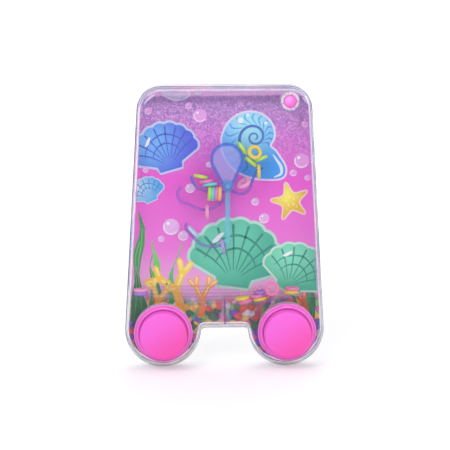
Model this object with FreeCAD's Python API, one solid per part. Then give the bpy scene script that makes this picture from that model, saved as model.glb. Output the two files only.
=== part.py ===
import FreeCAD, Part
import math
import os

# A handheld water game: a clear water tank with a picture card behind it, a turning
# catch wheel, a fixed tree of hooks, two push-button pumps and loose toss rings.
# It stands upright on its two round feet with its front towards -Y and its base at
# Z = 0. Left and right are the player's. Lengths are in millimetres.

os.makedirs("parts", exist_ok=True)
V = FreeCAD.Vector

# Outline of the body seen from the front
total_height = 142.0
lobe_margin = 4.4
lobe_offset = 30.9
side_taper_deg = 3.4
top_corner_radius = 12.0
notch_height = 19.8
notch_corner_radius = 2.2

# Depth of the body, its two shells, the card and the cover
rim_depth = 5.5
shell_wall = 1.3
face_step = 1.0
face_edge_radius = 1.6
flange_thickness = 1.4
tongue_clearance = 0.1
tongue_thickness = 0.8
tongue_height = 1.0
card_thickness = 0.5
cover_thickness = 1.0
card_clearance = 0.2
cover_edge_chamfer = 0.3
overrun = 1.0

# Push buttons: cap, collar, socket and the soft bulb behind
cap_radius = 11.7
cap_standout = 7.4
cap_wall = 1.3
cap_top_thickness = 1.8
cap_crown = 0.5
cap_edge_radius = 1.0
cap_lip_width = 0.6
cap_lip_depth = 0.7
cap_clearance = 0.3
button_travel = 3.4
collar_margin = 1.4
collar_flange = 0.7
collar_edge = 0.4
collar_lip_depth = 0.3
collar_sleeve_depth = 4.0
collar_ridge_margin = 0.9
collar_ridge_width = 0.7
collar_ridge_height = 0.45
collar_mark_radius = 1.1
sleeve_wall = 0.5
socket_wall = 1.2
socket_depth = 5.0
socket_clearance = 0.1
bulb_margin = 0.5
bulb_wall = 0.8
bulb_shoulder = 2.0
bulb_flange_width = 1.0
bulb_flange_thickness = 0.9
bulb_flare = 0.5

# Filler neck and its stopper, near the top right corner
filler_x = 31.7
filler_drop = 6.7
neck_radius = 4.6
neck_standout = 0.8
neck_length = 6.0
neck_bore_radius = 2.6
neck_seat_radius = 3.3
neck_seat_depth = 0.8
neck_edge_radius = 0.3
plug_head_radius = 3.1
plug_head_standout = 0.9
plug_head_round = 0.5
plug_stem_length = 5.0
plug_clearance = 0.08

# Hub that the catch wheel turns on, and the depth of the wheel and the tree
hub_x = 1.4
hub_z = 92.5
hub_radius = 2.5
hub_boss_height = 0.7
blade_thickness = 1.5
running_gap = 0.3
pin_radius = 0.8
pin_head_radius = 1.3
pin_head_height = 0.6
pin_clearance = 0.08
pin_seat_depth = 2.0
arm_radius = 0.7

# Catch wheel, measured from the hub
petal_rise = 13.3
petal_lean = -0.4
petal_radius = 8.3
petal_rim = 1.4
petal_web = 0.5
left_arm_root = (-0.6, -1.9)
left_arm_low = (-3.4, -3.1)
left_arm_bend = (-10.0, -2.7)
left_arm_tip = (-18.0, 4.4)
right_arm_root = (1.0, -1.6)
right_arm_points = ((4.9, -3.8), (11.6, 0.0), (13.8, 6.4), (16.9, 8.5))
right_arm_heading = (1.0, -0.85)

# Tree of fixed hooks, measured from the hub
stem_width = 2.4
stem_foot = (0.1, -29.0)
boss_radius = 2.0
boss_drop = 21.0
upper_hook_root = (-0.6, -6.6)
upper_hook_heading = (-0.8, -0.75)
upper_hook_points = ((-6.3, -11.0), (-15.5, -11.3), (-21.8, -8.6), (-23.2, -1.2))
lower_hook_root = (1.2, -27.6)
lower_hook_heading = (-0.6, -0.8)
lower_hook_points = ((-2.4, -30.2), (-9.0, -31.0), (-15.4, -27.9), (-20.1, -22.7), (-20.5, -19.6))

# Ribbed floor that the rings land on and the twin jet in its middle, their heights
# measured from the middles of the round feet
floor_low_rise = 12.2
trough_slope_deg = 8.0
trough_edge_share = 0.437
plateau_edge_share = 0.521
plateau_rise = 18.2
floor_fall_deg = 6.0
floor_bend_radius = 2.0
floor_thickness = 1.2
floor_clearance = 0.1
riser_left = -37.2
riser_right = 7.6
riser_rise = 22.0
riser_thickness = 0.7
rib_radius = 0.3
rib_pitch = 1.45
rib_count = 7
nozzle_rise = 15.4
nozzle_base_width = 4.6
nozzle_top_width = 3.0
nozzle_base_depth = 6.0
nozzle_top_depth = 4.0
nozzle_web = 1.0
jet_radius = 0.45
jet_spacing = 1.4
port_radius = 1.0
port_rise = 4.0

# Toss rings, how they hang and how they lie
ring_radius = 3.65
ring_hole_radius = 2.05
ring_thickness = 1.6
ring_chamfer = 0.4
ring_gap = 0.08
rest_gap = 0.2
hang_drop = 0.95
ring_tilt_deg = 11.5
arm_stack_start = 0.6
cup_lean_deg = -6.0
lime_lean_deg = 12.0
petal_green_deg = 55.0
petal_touch_deg = 89.0
perch_green_lean_deg = 41.0
perch_lime_lean_deg = -23.0
ring_room = 0.4
perch_setback = 0.95
heap_setback = 0.75
loose_setback = 0.05

# Planes through the depth, worked out from the sizes above
tank_depth = 2 * (ring_radius + ring_room) + blade_thickness + running_gap
body_depth = tank_depth + 2 * shell_wall + card_thickness + cover_thickness
hub_front_gap = ring_radius + ring_room - blade_thickness / 2 - hub_boss_height
total_depth = body_depth + cap_standout
back_y = total_depth / 2
rim_front_y = back_y - rim_depth
face_y = back_y - body_depth
face_inner_y = face_y + shell_wall
cover_front_y = back_y - cover_thickness
card_front_y = cover_front_y - card_thickness
tank_back_y = card_front_y - shell_wall
tank_middle_y = (face_inner_y + tank_back_y) / 2
perch_y = tank_middle_y + perch_setback
heap_y = tank_middle_y + heap_setback
loose_y = tank_middle_y + loose_setback
hub_front_y = face_inner_y + hub_front_gap
wheel_front_y = hub_front_y + hub_boss_height
wheel_middle_y = wheel_front_y + blade_thickness / 2
wheel_back_y = wheel_front_y + blade_thickness
tree_front_y = wheel_back_y + running_gap
tree_middle_y = tree_front_y + blade_thickness / 2
tree_back_y = tree_front_y + blade_thickness
tank_inset = face_step + shell_wall + tongue_clearance + tongue_thickness
collar_bore = cap_radius + cap_clearance
collar_ridge_radius = collar_bore + collar_ridge_margin
sleeve_bore = collar_bore + cap_lip_width
socket_radius = sleeve_bore + sleeve_wall + socket_clearance
collar_radius = socket_radius + collar_margin
bulb_radius = cap_radius - cap_wall - bulb_margin
lobe_radius = collar_radius + lobe_margin
half_width = lobe_offset + lobe_radius
trough_edge_x = half_width * trough_edge_share
plateau_edge_x = half_width * plateau_edge_share
lobe_z = lobe_radius
floor_low_z = lobe_z + floor_low_rise
plateau_z = lobe_z + plateau_rise
riser_top = lobe_z + riser_rise
nozzle_top_z = lobe_z + nozzle_rise
nozzle_base_z = notch_height + tank_inset + floor_clearance
trough_rise = trough_edge_x * math.tan(math.radians(trough_slope_deg))
floor_fall = math.tan(math.radians(floor_fall_deg))


def polar(centre, radius, direction):
    """The point at this radius from centre, both (x, z), towards a direction."""
    length = math.hypot(direction[0], direction[1])
    return (centre[0] + radius * direction[0] / length, centre[1] + radius * direction[1] / length)


def outline(inset, y):
    """The body's outline as a closed wire in the plane Y = y, moved inwards by inset."""
    taper = math.radians(side_taper_deg)
    side = (math.cos(taper), math.sin(taper))
    lobe = (lobe_offset, lobe_z)
    corner_z = total_height - top_corner_radius
    corner_reach = lobe_radius - top_corner_radius - (corner_z - lobe_z) * side[1]
    corner = (lobe_offset + corner_reach / side[0], corner_z)
    fillet_z = notch_height - notch_corner_radius
    reach = lobe_radius + notch_corner_radius
    fillet = (lobe_offset - math.sqrt(reach ** 2 - (lobe_z - fillet_z) ** 2), fillet_z)
    inner = (fillet[0] - lobe[0], fillet[1] - lobe[1])
    corner_r = top_corner_radius - inset
    lobe_r = lobe_radius - inset
    fillet_r = notch_corner_radius + inset
    top_end = (corner[0], total_height - inset)
    corner_middle = polar(corner, corner_r, (side[0], side[1] + 1))
    side_top = polar(corner, corner_r, side)
    side_bottom = polar(lobe, lobe_r, side)
    lobe_bottom = (lobe[0], lobe[1] - lobe_r)
    lobe_inner = polar(lobe, lobe_r, inner)
    away = (-inner[0] / reach, -inner[1] / reach + 1)
    fillet_middle = polar(fillet, fillet_r, away)
    roof_end = (fillet[0], notch_height + inset)

    def at(point, sign):
        return V(sign * point[0], y, point[1])

    edges = []
    for sign in (1, -1):
        edges.append(Part.Arc(at(top_end, sign), at(corner_middle, sign), at(side_top, sign)).toShape())
        edges.append(Part.LineSegment(at(side_top, sign), at(side_bottom, sign)).toShape())
        edges.append(Part.Arc(at(side_bottom, sign), at(lobe_bottom, sign), at(lobe_inner, sign)).toShape())
        edges.append(Part.Arc(at(lobe_inner, sign), at(fillet_middle, sign), at(roof_end, sign)).toShape())
    edges.append(Part.LineSegment(at(top_end, -1), at(top_end, 1)).toShape())
    edges.append(Part.LineSegment(at(roof_end, -1), at(roof_end, 1)).toShape())
    return Part.Wire(Part.__sortEdges__(edges))


def slab(inset, front, back):
    """A flat slab of the body's outline between two depths."""
    return Part.Face(outline(inset, front)).extrude(V(0, back - front, 0))


def edges_in_plane(shape, y):
    """The edges of shape that lie in the plane Y = y."""
    near = shell_wall / 100
    return [e for e in shape.Edges if abs(e.BoundBox.YMin - y) < near and abs(e.BoundBox.YMax - y) < near]


def rod_y(x, z, radius, front, back):
    """A round rod along Y between two depths."""
    return Part.makeCylinder(radius, back - front, V(x, front, z), V(0, 1, 0))


def turned(points, x, z):
    """A solid of revolution about the Y axis through (x, z), from (radius, y) points.

    An entry of three numbers is a round corner: radius, y and the corner's own radius.
    """
    edges = []
    count = len(points)
    ends = []
    for i, point in enumerate(points):
        here = V(point[0], point[1], 0)
        if len(point) == 2:
            ends.append((here, here, None))
            continue
        before = V(points[i - 1][0], points[i - 1][1], 0) - here
        after = V(points[(i + 1) % count][0], points[(i + 1) % count][1], 0) - here
        before.normalize()
        after.normalize()
        half = before.getAngle(after) / 2
        setback = point[2] / math.tan(half)
        bisector = before + after
        bisector.normalize()
        middle = here + bisector * (point[2] / math.sin(half) - point[2])
        ends.append((here + before * setback, here + after * setback, middle))
    for i in range(count):
        start, end, middle = ends[i]
        if middle is not None:
            edges.append(Part.Arc(start, middle, end).toShape())
        following = ends[(i + 1) % count][0]
        if (following - end).Length > overrun / 1000:
            edges.append(Part.LineSegment(end, following).toShape())
    face = Part.Face(Part.Wire(edges))
    solid = face.revolve(V(0, 0, 0), V(0, 1, 0), 360)
    solid.translate(V(x, 0, z))
    return solid


def bent_rod(points, heading, y, radius):
    """A round rod in the plane Y = y through (x, z) points, each bend an arc that
    leaves the last one smoothly, with a round tip. Returns the solid and its runs."""
    here = V(points[0][0], y, points[0][1])
    heading = V(heading[0], 0, heading[1])
    heading.normalize()
    solids = []
    runs = []
    for x, z in points[1:]:
        goal = V(x, y, z)
        chord = goal - here
        turn = math.atan2(chord.x, chord.z) - math.atan2(heading.x, heading.z)
        turn = (turn + math.pi) % (2 * math.pi) - math.pi
        if abs(math.sin(turn)) * chord.Length < radius / 100:
            solids.append(Part.makeCylinder(radius, chord.Length, here, heading))
            runs.append((here, heading, None, 0.0, chord.Length))
        else:
            reach = chord.Length / (2 * math.sin(turn))
            centre = here + V(heading.z, 0, -heading.x) * reach
            disc = Part.Face(Part.Wire(Part.makeCircle(radius, here, heading)))
            solids.append(disc.revolve(centre, V(0, 1, 0), math.degrees(2 * turn)))
            runs.append((here, heading, centre, 2 * turn, abs(2 * turn * reach)))
            heading = FreeCAD.Rotation(V(0, 1, 0), math.degrees(2 * turn)).multVec(heading)
        here = goal
    solids.append(Part.makeSphere(radius, here))
    return solids[0].multiFuse(solids[1:]), runs


def along(runs, distance):
    """The point and heading on a bent rod at a distance from its root."""
    for start, heading, centre, turn, length in runs:
        if distance <= length:
            break
        distance -= length
    if centre is None:
        return start + heading * distance, heading
    spin = FreeCAD.Rotation(V(0, 1, 0), math.degrees(turn * distance / length))
    return centre + spin.multVec(start - centre), spin.multVec(heading)


def from_hub(points):
    """Points measured from the hub, as (x, z) in the body."""
    return [(hub_x + x, hub_z + z) for x, z in points]


# Clear shells
filler_z = total_height - filler_drop
socket_end_y = face_y + socket_depth


def front_shell():
    """Stepped clear front with a rounded face edge, two button sockets and a filler hole."""
    shell = slab(face_step, face_y, rim_front_y)
    shell = shell.makeFillet(face_edge_radius, edges_in_plane(shell, face_y))
    shell = shell.fuse(slab(0, rim_front_y - flange_thickness, rim_front_y))
    cavity = slab(face_step + shell_wall, face_inner_y, rim_front_y + overrun)
    inner_round = max(face_edge_radius - shell_wall, shell_wall / 4)
    cavity = cavity.makeFillet(inner_round, edges_in_plane(cavity, face_inner_y))
    shell = shell.cut(cavity)
    for sign in (-1, 1):
        x = sign * lobe_offset
        shell = shell.fuse(rod_y(x, lobe_z, socket_radius + socket_wall, face_y + shell_wall / 2, socket_end_y))
        shell = shell.cut(rod_y(x, lobe_z, socket_radius, face_y - overrun, socket_end_y + overrun))
    shell = shell.cut(rod_y(filler_x, filler_z, neck_radius, face_y - overrun, face_y + neck_length))
    return shell.removeSplitter()


def back_shell():
    """Clear back tub: outer rim, back wall, locating tongue and the two hook bosses."""
    shell = slab(0, rim_front_y, back_y)
    shell = shell.cut(slab(shell_wall, rim_front_y - overrun, tank_back_y))
    shell = shell.cut(slab(shell_wall, card_front_y, back_y + overrun))
    tongue_inset = face_step + shell_wall + tongue_clearance
    tongue_front = rim_front_y - tongue_height
    tongue = slab(tongue_inset, tongue_front, tank_back_y)
    tongue = tongue.cut(slab(tank_inset, tongue_front - overrun, tank_back_y + overrun))
    shell = shell.fuse(tongue)
    shell = shell.fuse(rod_y(hub_x, hub_z, hub_radius, tree_back_y, tank_back_y))
    shell = shell.fuse(rod_y(hub_x, hub_z - boss_drop, boss_radius, tree_back_y, tank_back_y))
    shell = shell.cut(rod_y(hub_x, hub_z, pin_radius, tree_back_y - overrun, tree_back_y + pin_seat_depth))
    return shell.removeSplitter()


def picture_card():
    return slab(shell_wall + card_clearance, card_front_y, cover_front_y)


def back_cover():
    """Thin clear cover, flush with the back of the rim."""
    cover = slab(shell_wall + card_clearance, cover_front_y, back_y)
    return cover.makeChamfer(cover_edge_chamfer, edges_in_plane(cover, back_y))


# Push buttons
def button_collar(side):
    """Fixed pink ring: a flange on the face, a raised ridge and a sleeve in the socket."""
    front = face_y - collar_flange
    ridge_in = collar_ridge_radius - collar_ridge_width / 2
    ridge_out = collar_ridge_radius + collar_ridge_width / 2
    sleeve_out = socket_radius - socket_clearance
    profile = [
        (collar_bore, front),
        (ridge_in, front),
        (ridge_in, front - collar_ridge_height, collar_ridge_width / 4),
        (ridge_out, front - collar_ridge_height, collar_ridge_width / 4),
        (ridge_out, front),
        (collar_radius, front, collar_edge),
        (collar_radius, face_y),
        (sleeve_out, face_y),
        (sleeve_out, face_y + collar_sleeve_depth),
        (sleeve_bore, face_y + collar_sleeve_depth),
        (sleeve_bore, face_y + collar_lip_depth),
        (collar_bore, face_y + collar_lip_depth),
    ]
    x = side * lobe_offset
    collar = turned(profile, x, lobe_z)
    mark_z = lobe_z + ridge_out + collar_mark_radius / 2
    mark = rod_y(x, mark_z, collar_mark_radius, front - collar_ridge_height - overrun, front)
    return collar.cut(mark)


cap_front_y = face_y - cap_standout
cap_inner_y = cap_front_y + cap_top_thickness


def button_cap(side):
    """Raised round push button with a soft crown and a lip that keeps it in the collar."""
    x = side * lobe_offset
    lip_front = face_y + collar_lip_depth + cap_clearance
    lip_back = lip_front + cap_lip_depth
    crown_radius = (cap_radius ** 2 + cap_crown ** 2) / (2 * cap_crown)
    cap = rod_y(x, lobe_z, cap_radius, cap_front_y - overrun, lip_back)
    cap = cap.common(Part.makeSphere(crown_radius, V(x, cap_front_y + crown_radius, lobe_z)))
    rim = [e for e in cap.Edges if e.BoundBox.YMax < lip_front and e.BoundBox.XLength > cap_radius]
    cap = cap.makeFillet(cap_edge_radius, rim)
    cap = cap.fuse(rod_y(x, lobe_z, cap_radius + cap_lip_width, lip_front, lip_back))
    return cap.cut(rod_y(x, lobe_z, cap_radius - cap_wall, cap_inner_y, lip_back + overrun)).removeSplitter()


def pump_bulb(side):
    """Soft dome behind the cap; its flange seats on the end of the socket."""
    crown_y = cap_inner_y + cap_clearance
    flange_out = socket_radius + bulb_flange_width
    flange_back = socket_end_y + bulb_flange_thickness
    inner = bulb_radius - bulb_wall
    profile = [
        (0, crown_y),
        (bulb_radius, crown_y, bulb_shoulder),
        (bulb_radius, socket_end_y - bulb_flare),
        (bulb_radius + bulb_wall, socket_end_y),
        (flange_out, socket_end_y),
        (flange_out, flange_back),
        (bulb_radius, flange_back),
        (inner, socket_end_y - bulb_flare / 2),
        (inner, crown_y + bulb_wall, bulb_shoulder - bulb_wall),
        (0, crown_y + bulb_wall),
    ]
    return turned(profile, side * lobe_offset, lobe_z)


def filler_neck():
    """Clear tube set through the face near the top corner, with a seat for the stopper."""
    neck_front = face_y - neck_standout
    seat_y = neck_front + neck_seat_depth
    neck_back = face_y + neck_length
    profile = [
        (neck_bore_radius, seat_y),
        (neck_seat_radius, seat_y),
        (neck_seat_radius, neck_front),
        (neck_radius, neck_front, neck_edge_radius),
        (neck_radius, neck_back),
        (neck_bore_radius, neck_back),
    ]
    return turned(profile, filler_x, filler_z)


def filler_plug():
    """Soft stopper: a round head in the neck's seat and a stem in its bore."""
    seat_y = face_y - neck_standout + neck_seat_depth
    head_front = face_y - neck_standout - plug_head_standout
    stem_radius = neck_bore_radius - plug_clearance
    profile = [
        (0, head_front),
        (plug_head_radius, head_front, plug_head_round),
        (plug_head_radius, seat_y),
        (stem_radius, seat_y),
        (stem_radius, seat_y + plug_stem_length, plug_head_round),
        (0, seat_y + plug_stem_length),
    ]
    return turned(profile, filler_x, filler_z)


# Catch wheel and tree of hooks
def teardrop(trim, front, back):
    """A teardrop slab about the hub, trimmed in from its outer size."""
    big = petal_radius - trim
    small = hub_radius - trim
    centre = (hub_x + petal_lean, hub_z + petal_rise)
    hub = (hub_x, hub_z)
    span = (centre[0] - hub[0], centre[1] - hub[1])
    lean = math.atan2(span[0], span[1])
    flare = math.asin((big - small) / math.hypot(span[0], span[1]))

    def rim_point(middle, radius, sign):
        angle = lean + sign * (math.pi / 2 + flare)
        return V(middle[0] + radius * math.sin(angle), front, middle[1] + radius * math.cos(angle))

    def axis_point(middle, radius, sign):
        return V(middle[0] + sign * radius * math.sin(lean), front, middle[1] + sign * radius * math.cos(lean))

    left_low, right_low = rim_point(hub, small, -1), rim_point(hub, small, 1)
    left_high, right_high = rim_point(centre, big, -1), rim_point(centre, big, 1)
    wire = Part.Wire([
        Part.Arc(right_low, axis_point(hub, small, -1), left_low).toShape(),
        Part.LineSegment(left_low, left_high).toShape(),
        Part.Arc(left_high, axis_point(centre, big, 1), right_high).toShape(),
        Part.LineSegment(right_high, right_low).toShape(),
    ])
    return Part.Face(wire).extrude(V(0, back - front, 0))


def lead_in(root, bend, end):
    """Heading at root from which an arc to bend leaves it straight towards end."""
    chord = math.atan2(bend[1] - root[1], bend[0] - root[0])
    away = math.atan2(end[1] - bend[1], end[0] - bend[0])
    return (math.cos(2 * chord - away), math.sin(2 * chord - away))


left_arm_heading = lead_in(left_arm_root, left_arm_low, left_arm_bend)
left_arm_line = from_hub([left_arm_root, left_arm_low, left_arm_bend, left_arm_tip])
left_arm, left_arm_runs = bent_rod(left_arm_line, left_arm_heading, wheel_middle_y, arm_radius)
right_arm_line = from_hub((right_arm_root,) + right_arm_points)
right_arm, right_arm_runs = bent_rod(right_arm_line, right_arm_heading, wheel_middle_y, arm_radius)
upper_hook_line = from_hub((upper_hook_root,) + upper_hook_points)
upper_hook, upper_hook_runs = bent_rod(upper_hook_line, upper_hook_heading, tree_middle_y, arm_radius)
lower_hook_line = from_hub((lower_hook_root,) + lower_hook_points)
lower_hook, lower_hook_runs = bent_rod(lower_hook_line, lower_hook_heading, tree_middle_y, arm_radius)


def catch_wheel():
    """Turning piece: a rimmed petal above the hub and a curved arm on each side."""
    rim = teardrop(0, wheel_front_y, wheel_back_y).cut(
        teardrop(petal_rim, wheel_front_y - overrun, wheel_back_y + overrun))
    web = teardrop(petal_rim / 2, wheel_middle_y - petal_web / 2, wheel_middle_y + petal_web / 2)
    hub = rod_y(hub_x, hub_z, hub_radius, hub_front_y, wheel_back_y)
    wheel = rim.multiFuse([web, hub, left_arm, right_arm])
    bore = pin_radius + pin_clearance
    wheel = wheel.cut(rod_y(hub_x, hub_z, bore, hub_front_y - overrun, wheel_back_y + overrun))
    return wheel.removeSplitter()


def hook_tree():
    """Fixed piece behind the wheel: a stem from the hub down to its foot, two hooks."""
    foot_x, foot_z = from_hub([stem_foot])[0]
    hub = rod_y(hub_x, hub_z, hub_radius, tree_front_y, tree_back_y)
    half = stem_width / 2
    foot = rod_y(foot_x, foot_z, half, tree_front_y, tree_back_y)
    corners = [
        V(hub_x - half, tree_front_y, hub_z),
        V(hub_x + half, tree_front_y, hub_z),
        V(foot_x + half, tree_front_y, foot_z),
        V(foot_x - half, tree_front_y, foot_z),
    ]
    stem = Part.Face(Part.makePolygon(corners + corners[:1])).extrude(V(0, blade_thickness, 0))
    tree = stem.multiFuse([hub, foot, upper_hook, lower_hook])
    return tree.cut(rod_y(hub_x, hub_z, pin_radius, tree_front_y - overrun, tree_back_y + overrun)).removeSplitter()


def hub_pin():
    """Round-headed pin that holds the wheel on the tree and the back boss."""
    head_back = hub_front_y - running_gap
    head_front = head_back - pin_head_height
    profile = [
        (0, head_front),
        (pin_head_radius, head_front, pin_head_height / 2),
        (pin_head_radius, head_back),
        (pin_radius, head_back),
        (pin_radius, tree_back_y + pin_seat_depth),
        (0, tree_back_y + pin_seat_depth),
    ]
    return turned(profile, hub_x, hub_z)


# Floor and jets
floor_front_y = face_inner_y + floor_clearance
floor_back_y = tank_back_y - floor_clearance


def floor_z(x):
    """Height of the floor's upper side at x, half-way through its depth."""
    reach = abs(x)
    if reach <= trough_edge_x:
        return floor_low_z + trough_rise * reach / trough_edge_x
    share = min(1, (reach - trough_edge_x) / (plateau_edge_x - trough_edge_x))
    low = floor_low_z + trough_rise
    return low + share * (plateau_z - low)


def ring_floor():
    """Shelf across the tank: a trough between two plateaus, with a ribbed riser behind."""
    depth = floor_back_y - floor_front_y
    lift = depth / 2 * floor_fall
    run = V(0, depth, -depth * floor_fall)
    side = half_width
    bends = [-side, -plateau_edge_x, -trough_edge_x, 0, trough_edge_x, plateau_edge_x, side]
    top = [V(x, floor_front_y, floor_z(x) + lift) for x in bends]
    bottom = [point - V(0, 0, floor_thickness) for point in top]
    shelf = Part.Face(Part.makePolygon(top + bottom[::-1] + top[:1])).extrude(run)
    bent = [e for e in shelf.Edges if e.BoundBox.YLength > depth / 2 and e.BoundBox.Center.x ** 2 < side ** 2 / 2]
    shelf = shelf.makeFillet(floor_bend_radius, [e for e in bent if e.BoundBox.XLength < floor_clearance])
    base = [V(side, floor_front_y, 0), V(-side, floor_front_y, 0)]
    below = Part.Face(Part.makePolygon(bottom + base + bottom[:1])).extrude(run)
    riser_front = floor_back_y - riser_thickness
    length = riser_right - riser_left
    riser = Part.makeBox(length, riser_thickness, riser_top - floor_low_z + floor_thickness,
                         V(riser_left, riser_front, floor_low_z - floor_thickness))
    ribs = []
    for i in range(rib_count):
        z = riser_top - rib_radius - i * rib_pitch
        ribs.append(Part.makeCylinder(rib_radius, length, V(riser_left, riser_front, z), V(1, 0, 0)))
    shelf = shelf.fuse(riser.multiFuse(ribs).cut(below))
    shelf = shelf.common(slab(tank_inset + floor_clearance, floor_front_y, floor_back_y))
    taper = (nozzle_base_width - nozzle_top_width) / (nozzle_top_z - nozzle_base_z) / 2
    spread = taper * (nozzle_top_z - floor_low_z + floor_thickness) + floor_clearance
    slot_x = nozzle_top_width / 2 + spread
    slot_y = nozzle_top_depth / 2 + spread
    slot = Part.makeBox(2 * slot_x, 2 * slot_y, nozzle_top_z - nozzle_base_z,
                        V(-slot_x, tank_middle_y - slot_y, nozzle_base_z))
    return shelf.cut(slot).removeSplitter()


def nozzle_block():
    """Tapered block with two upright jets, a side port to each pump and a divider."""
    def rectangle(width, depth, z):
        corners = [
            V(-width / 2, tank_middle_y - depth / 2, z),
            V(width / 2, tank_middle_y - depth / 2, z),
            V(width / 2, tank_middle_y + depth / 2, z),
            V(-width / 2, tank_middle_y + depth / 2, z),
        ]
        return Part.makePolygon(corners + corners[:1])

    block = Part.makeLoft([
        rectangle(nozzle_base_width, nozzle_base_depth, nozzle_base_z),
        rectangle(nozzle_top_width, nozzle_top_depth, nozzle_top_z),
    ], True, True)
    depth = floor_back_y - floor_front_y
    under_floor = floor_low_z - floor_thickness - depth / 2 * floor_fall - floor_clearance
    web = Part.makeBox(nozzle_web, depth, under_floor - nozzle_base_z,
                       V(-nozzle_web / 2, floor_front_y, nozzle_base_z))
    block = block.fuse(web)
    port_z = nozzle_base_z + port_rise
    for sign in (-1, 1):
        x = sign * jet_spacing / 2
        jet = Part.makeCylinder(jet_radius, nozzle_top_z - port_z + overrun, V(x, tank_middle_y, port_z))
        port = Part.makeCylinder(port_radius, nozzle_base_width / 2, V(x, tank_middle_y, port_z), V(sign, 0, 0))
        block = block.cut(jet).cut(port)
    return block.removeSplitter()


# Toss rings
def toss_ring(centre, axis):
    """One toss ring about its centre, with its hole along axis."""
    half = ring_thickness / 2
    edge = half - ring_chamfer
    profile = [
        V(ring_hole_radius, 0, -half),
        V(ring_radius - ring_chamfer, 0, -half),
        V(ring_radius, 0, -edge),
        V(ring_radius, 0, edge),
        V(ring_radius - ring_chamfer, 0, half),
        V(ring_hole_radius, 0, half),
    ]
    ring = Part.Face(Part.makePolygon(profile + profile[:1])).revolve(V(0, 0, 0), V(0, 0, 1), 360)
    ring.Placement = FreeCAD.Placement(centre, FreeCAD.Rotation(V(0, 0, 1), axis))
    return ring


def leaning(lean_deg):
    """Axis and edge direction of a ring that leans down to the right, front edge up."""
    lean = math.radians(lean_deg)
    tilt = FreeCAD.Rotation(V(1, 0, 0), -ring_tilt_deg)
    return tilt.multVec(V(math.sin(lean), 0, math.cos(lean))), tilt.multVec(V(math.cos(lean), 0, -math.sin(lean)))


def hung_centre(runs, distance):
    """Centre of a ring that hangs by its hole from a rod."""
    return along(runs, distance)[0] - V(0, 0, hang_drop)


def floor_normal(x):
    """Upward normal of the floor at x."""
    step = ring_chamfer
    slope = (floor_z(x + step) - floor_z(x - step)) / (2 * step)
    normal = V(-slope, floor_fall, 1)
    normal.normalize()
    return normal


def floor_centre(x, layer, y):
    """Centre of a ring lying in a stack on the floor; layer 0 is the lowest."""
    rise = ring_thickness / 2 + ring_gap + layer * (ring_thickness + ring_gap)
    return V(x, y, floor_z(x) - (y - tank_middle_y) * floor_fall) + floor_normal(x) * rise


def arm_rings():
    """Rings on the wheel's left arm: four threaded in a row and three lying on them."""
    rings = {}
    pitch = ring_thickness + ring_gap
    start = left_arm_runs[0][4] + arm_stack_start
    heading = left_arm_runs[1][1]
    for i, colour in enumerate(("orange", "pink", "cyan", "green")):
        centre = hung_centre(left_arm_runs, start + i * pitch)
        rings["ring_arm_" + colour] = toss_ring(centre, heading)
    axis, edge = leaning(cup_lean_deg)
    seat = ring_radius * cup_seat_share + ring_thickness / 2 + rest_gap
    cyan = centre + axis * seat + edge * cup_cyan_share * ring_radius
    pink = cyan + axis * (ring_thickness + ring_gap) - edge * cup_pink_share * ring_radius
    lime_axis, lime_edge = leaning(lime_lean_deg)
    touch = pink + axis * ring_thickness / 2 + edge * cup_lime_share * ring_radius
    lime = touch + lime_axis * ring_thickness / 2 - lime_edge * ring_radius
    rings["ring_cup_cyan"] = toss_ring(cyan, axis)
    rings["ring_cup_pink"] = toss_ring(pink, axis)
    rings["ring_cup_lime"] = toss_ring(lime, lime_axis)
    return rings


def perch_rings():
    """Rings caught between the petal and the right arm, and the one in its bowl."""
    rings = {}
    petal = V(hub_x + petal_lean, wheel_middle_y, hub_z + petal_rise)
    axis, edge = leaning(petal_green_deg)
    reach = petal_radius + ring_thickness / 2 + rest_gap
    rings["ring_petal_green"] = toss_ring(petal + axis * reach, axis)
    touch_angle = math.radians(petal_touch_deg)
    touch = petal + V(math.sin(touch_angle), 0, math.cos(touch_angle)) * (petal_radius + rest_gap)
    touch.y = perch_y
    axis, edge = leaning(perch_green_lean_deg)
    green = touch + edge * ring_radius + axis * ring_thickness / 2
    rings["ring_perch_green"] = toss_ring(green, axis)
    touch = green + axis * ring_thickness / 2 + edge * perch_lime_share * ring_radius
    axis, edge = leaning(perch_lime_lean_deg)
    rings["ring_perch_lime"] = toss_ring(touch + axis * ring_thickness / 2 + edge * ring_radius, axis)
    offset = V(*perch_yellow_shares) * ring_radius
    rings["ring_perch_yellow"] = toss_ring(green + offset, V(*perch_yellow_axis_shares))
    reach = sum(run[4] for run in right_arm_runs)
    seat = along(right_arm_runs, reach * cup_rose_reach_share)[0]
    rose = seat + V(*cup_rose_shares) * ring_radius
    rings["ring_cup_rose"] = toss_ring(rose, V(*cup_rose_axis_shares))
    rings["ring_tip_yellow"] = toss_ring(hung_centre(right_arm_runs, reach * tip_reach_share), V(1, 0, 0))
    return rings


def tree_rings():
    """Rings on the fixed hooks: two threaded, one lying along the lower hook."""
    rings = {}
    reach = sum(run[4] for run in upper_hook_runs)
    rings["ring_hook_pale"] = toss_ring(hung_centre(upper_hook_runs, reach * pale_reach_share), V(1, 0, 0))
    reach = sum(run[4] for run in lower_hook_runs)
    lilac = hung_centre(lower_hook_runs, reach * lilac_reach_share)
    rings["ring_hook_lilac"] = toss_ring(lilac, V(*lilac_axis_shares))
    point, heading = along(lower_hook_runs, reach * white_reach_share)
    inward = V(heading.z, 0, -heading.x)
    lift = arm_radius + ring_thickness / 2 + 2 * rest_gap
    rings["ring_hook_white"] = toss_ring(point + inward * lift, inward)
    return rings


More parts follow.
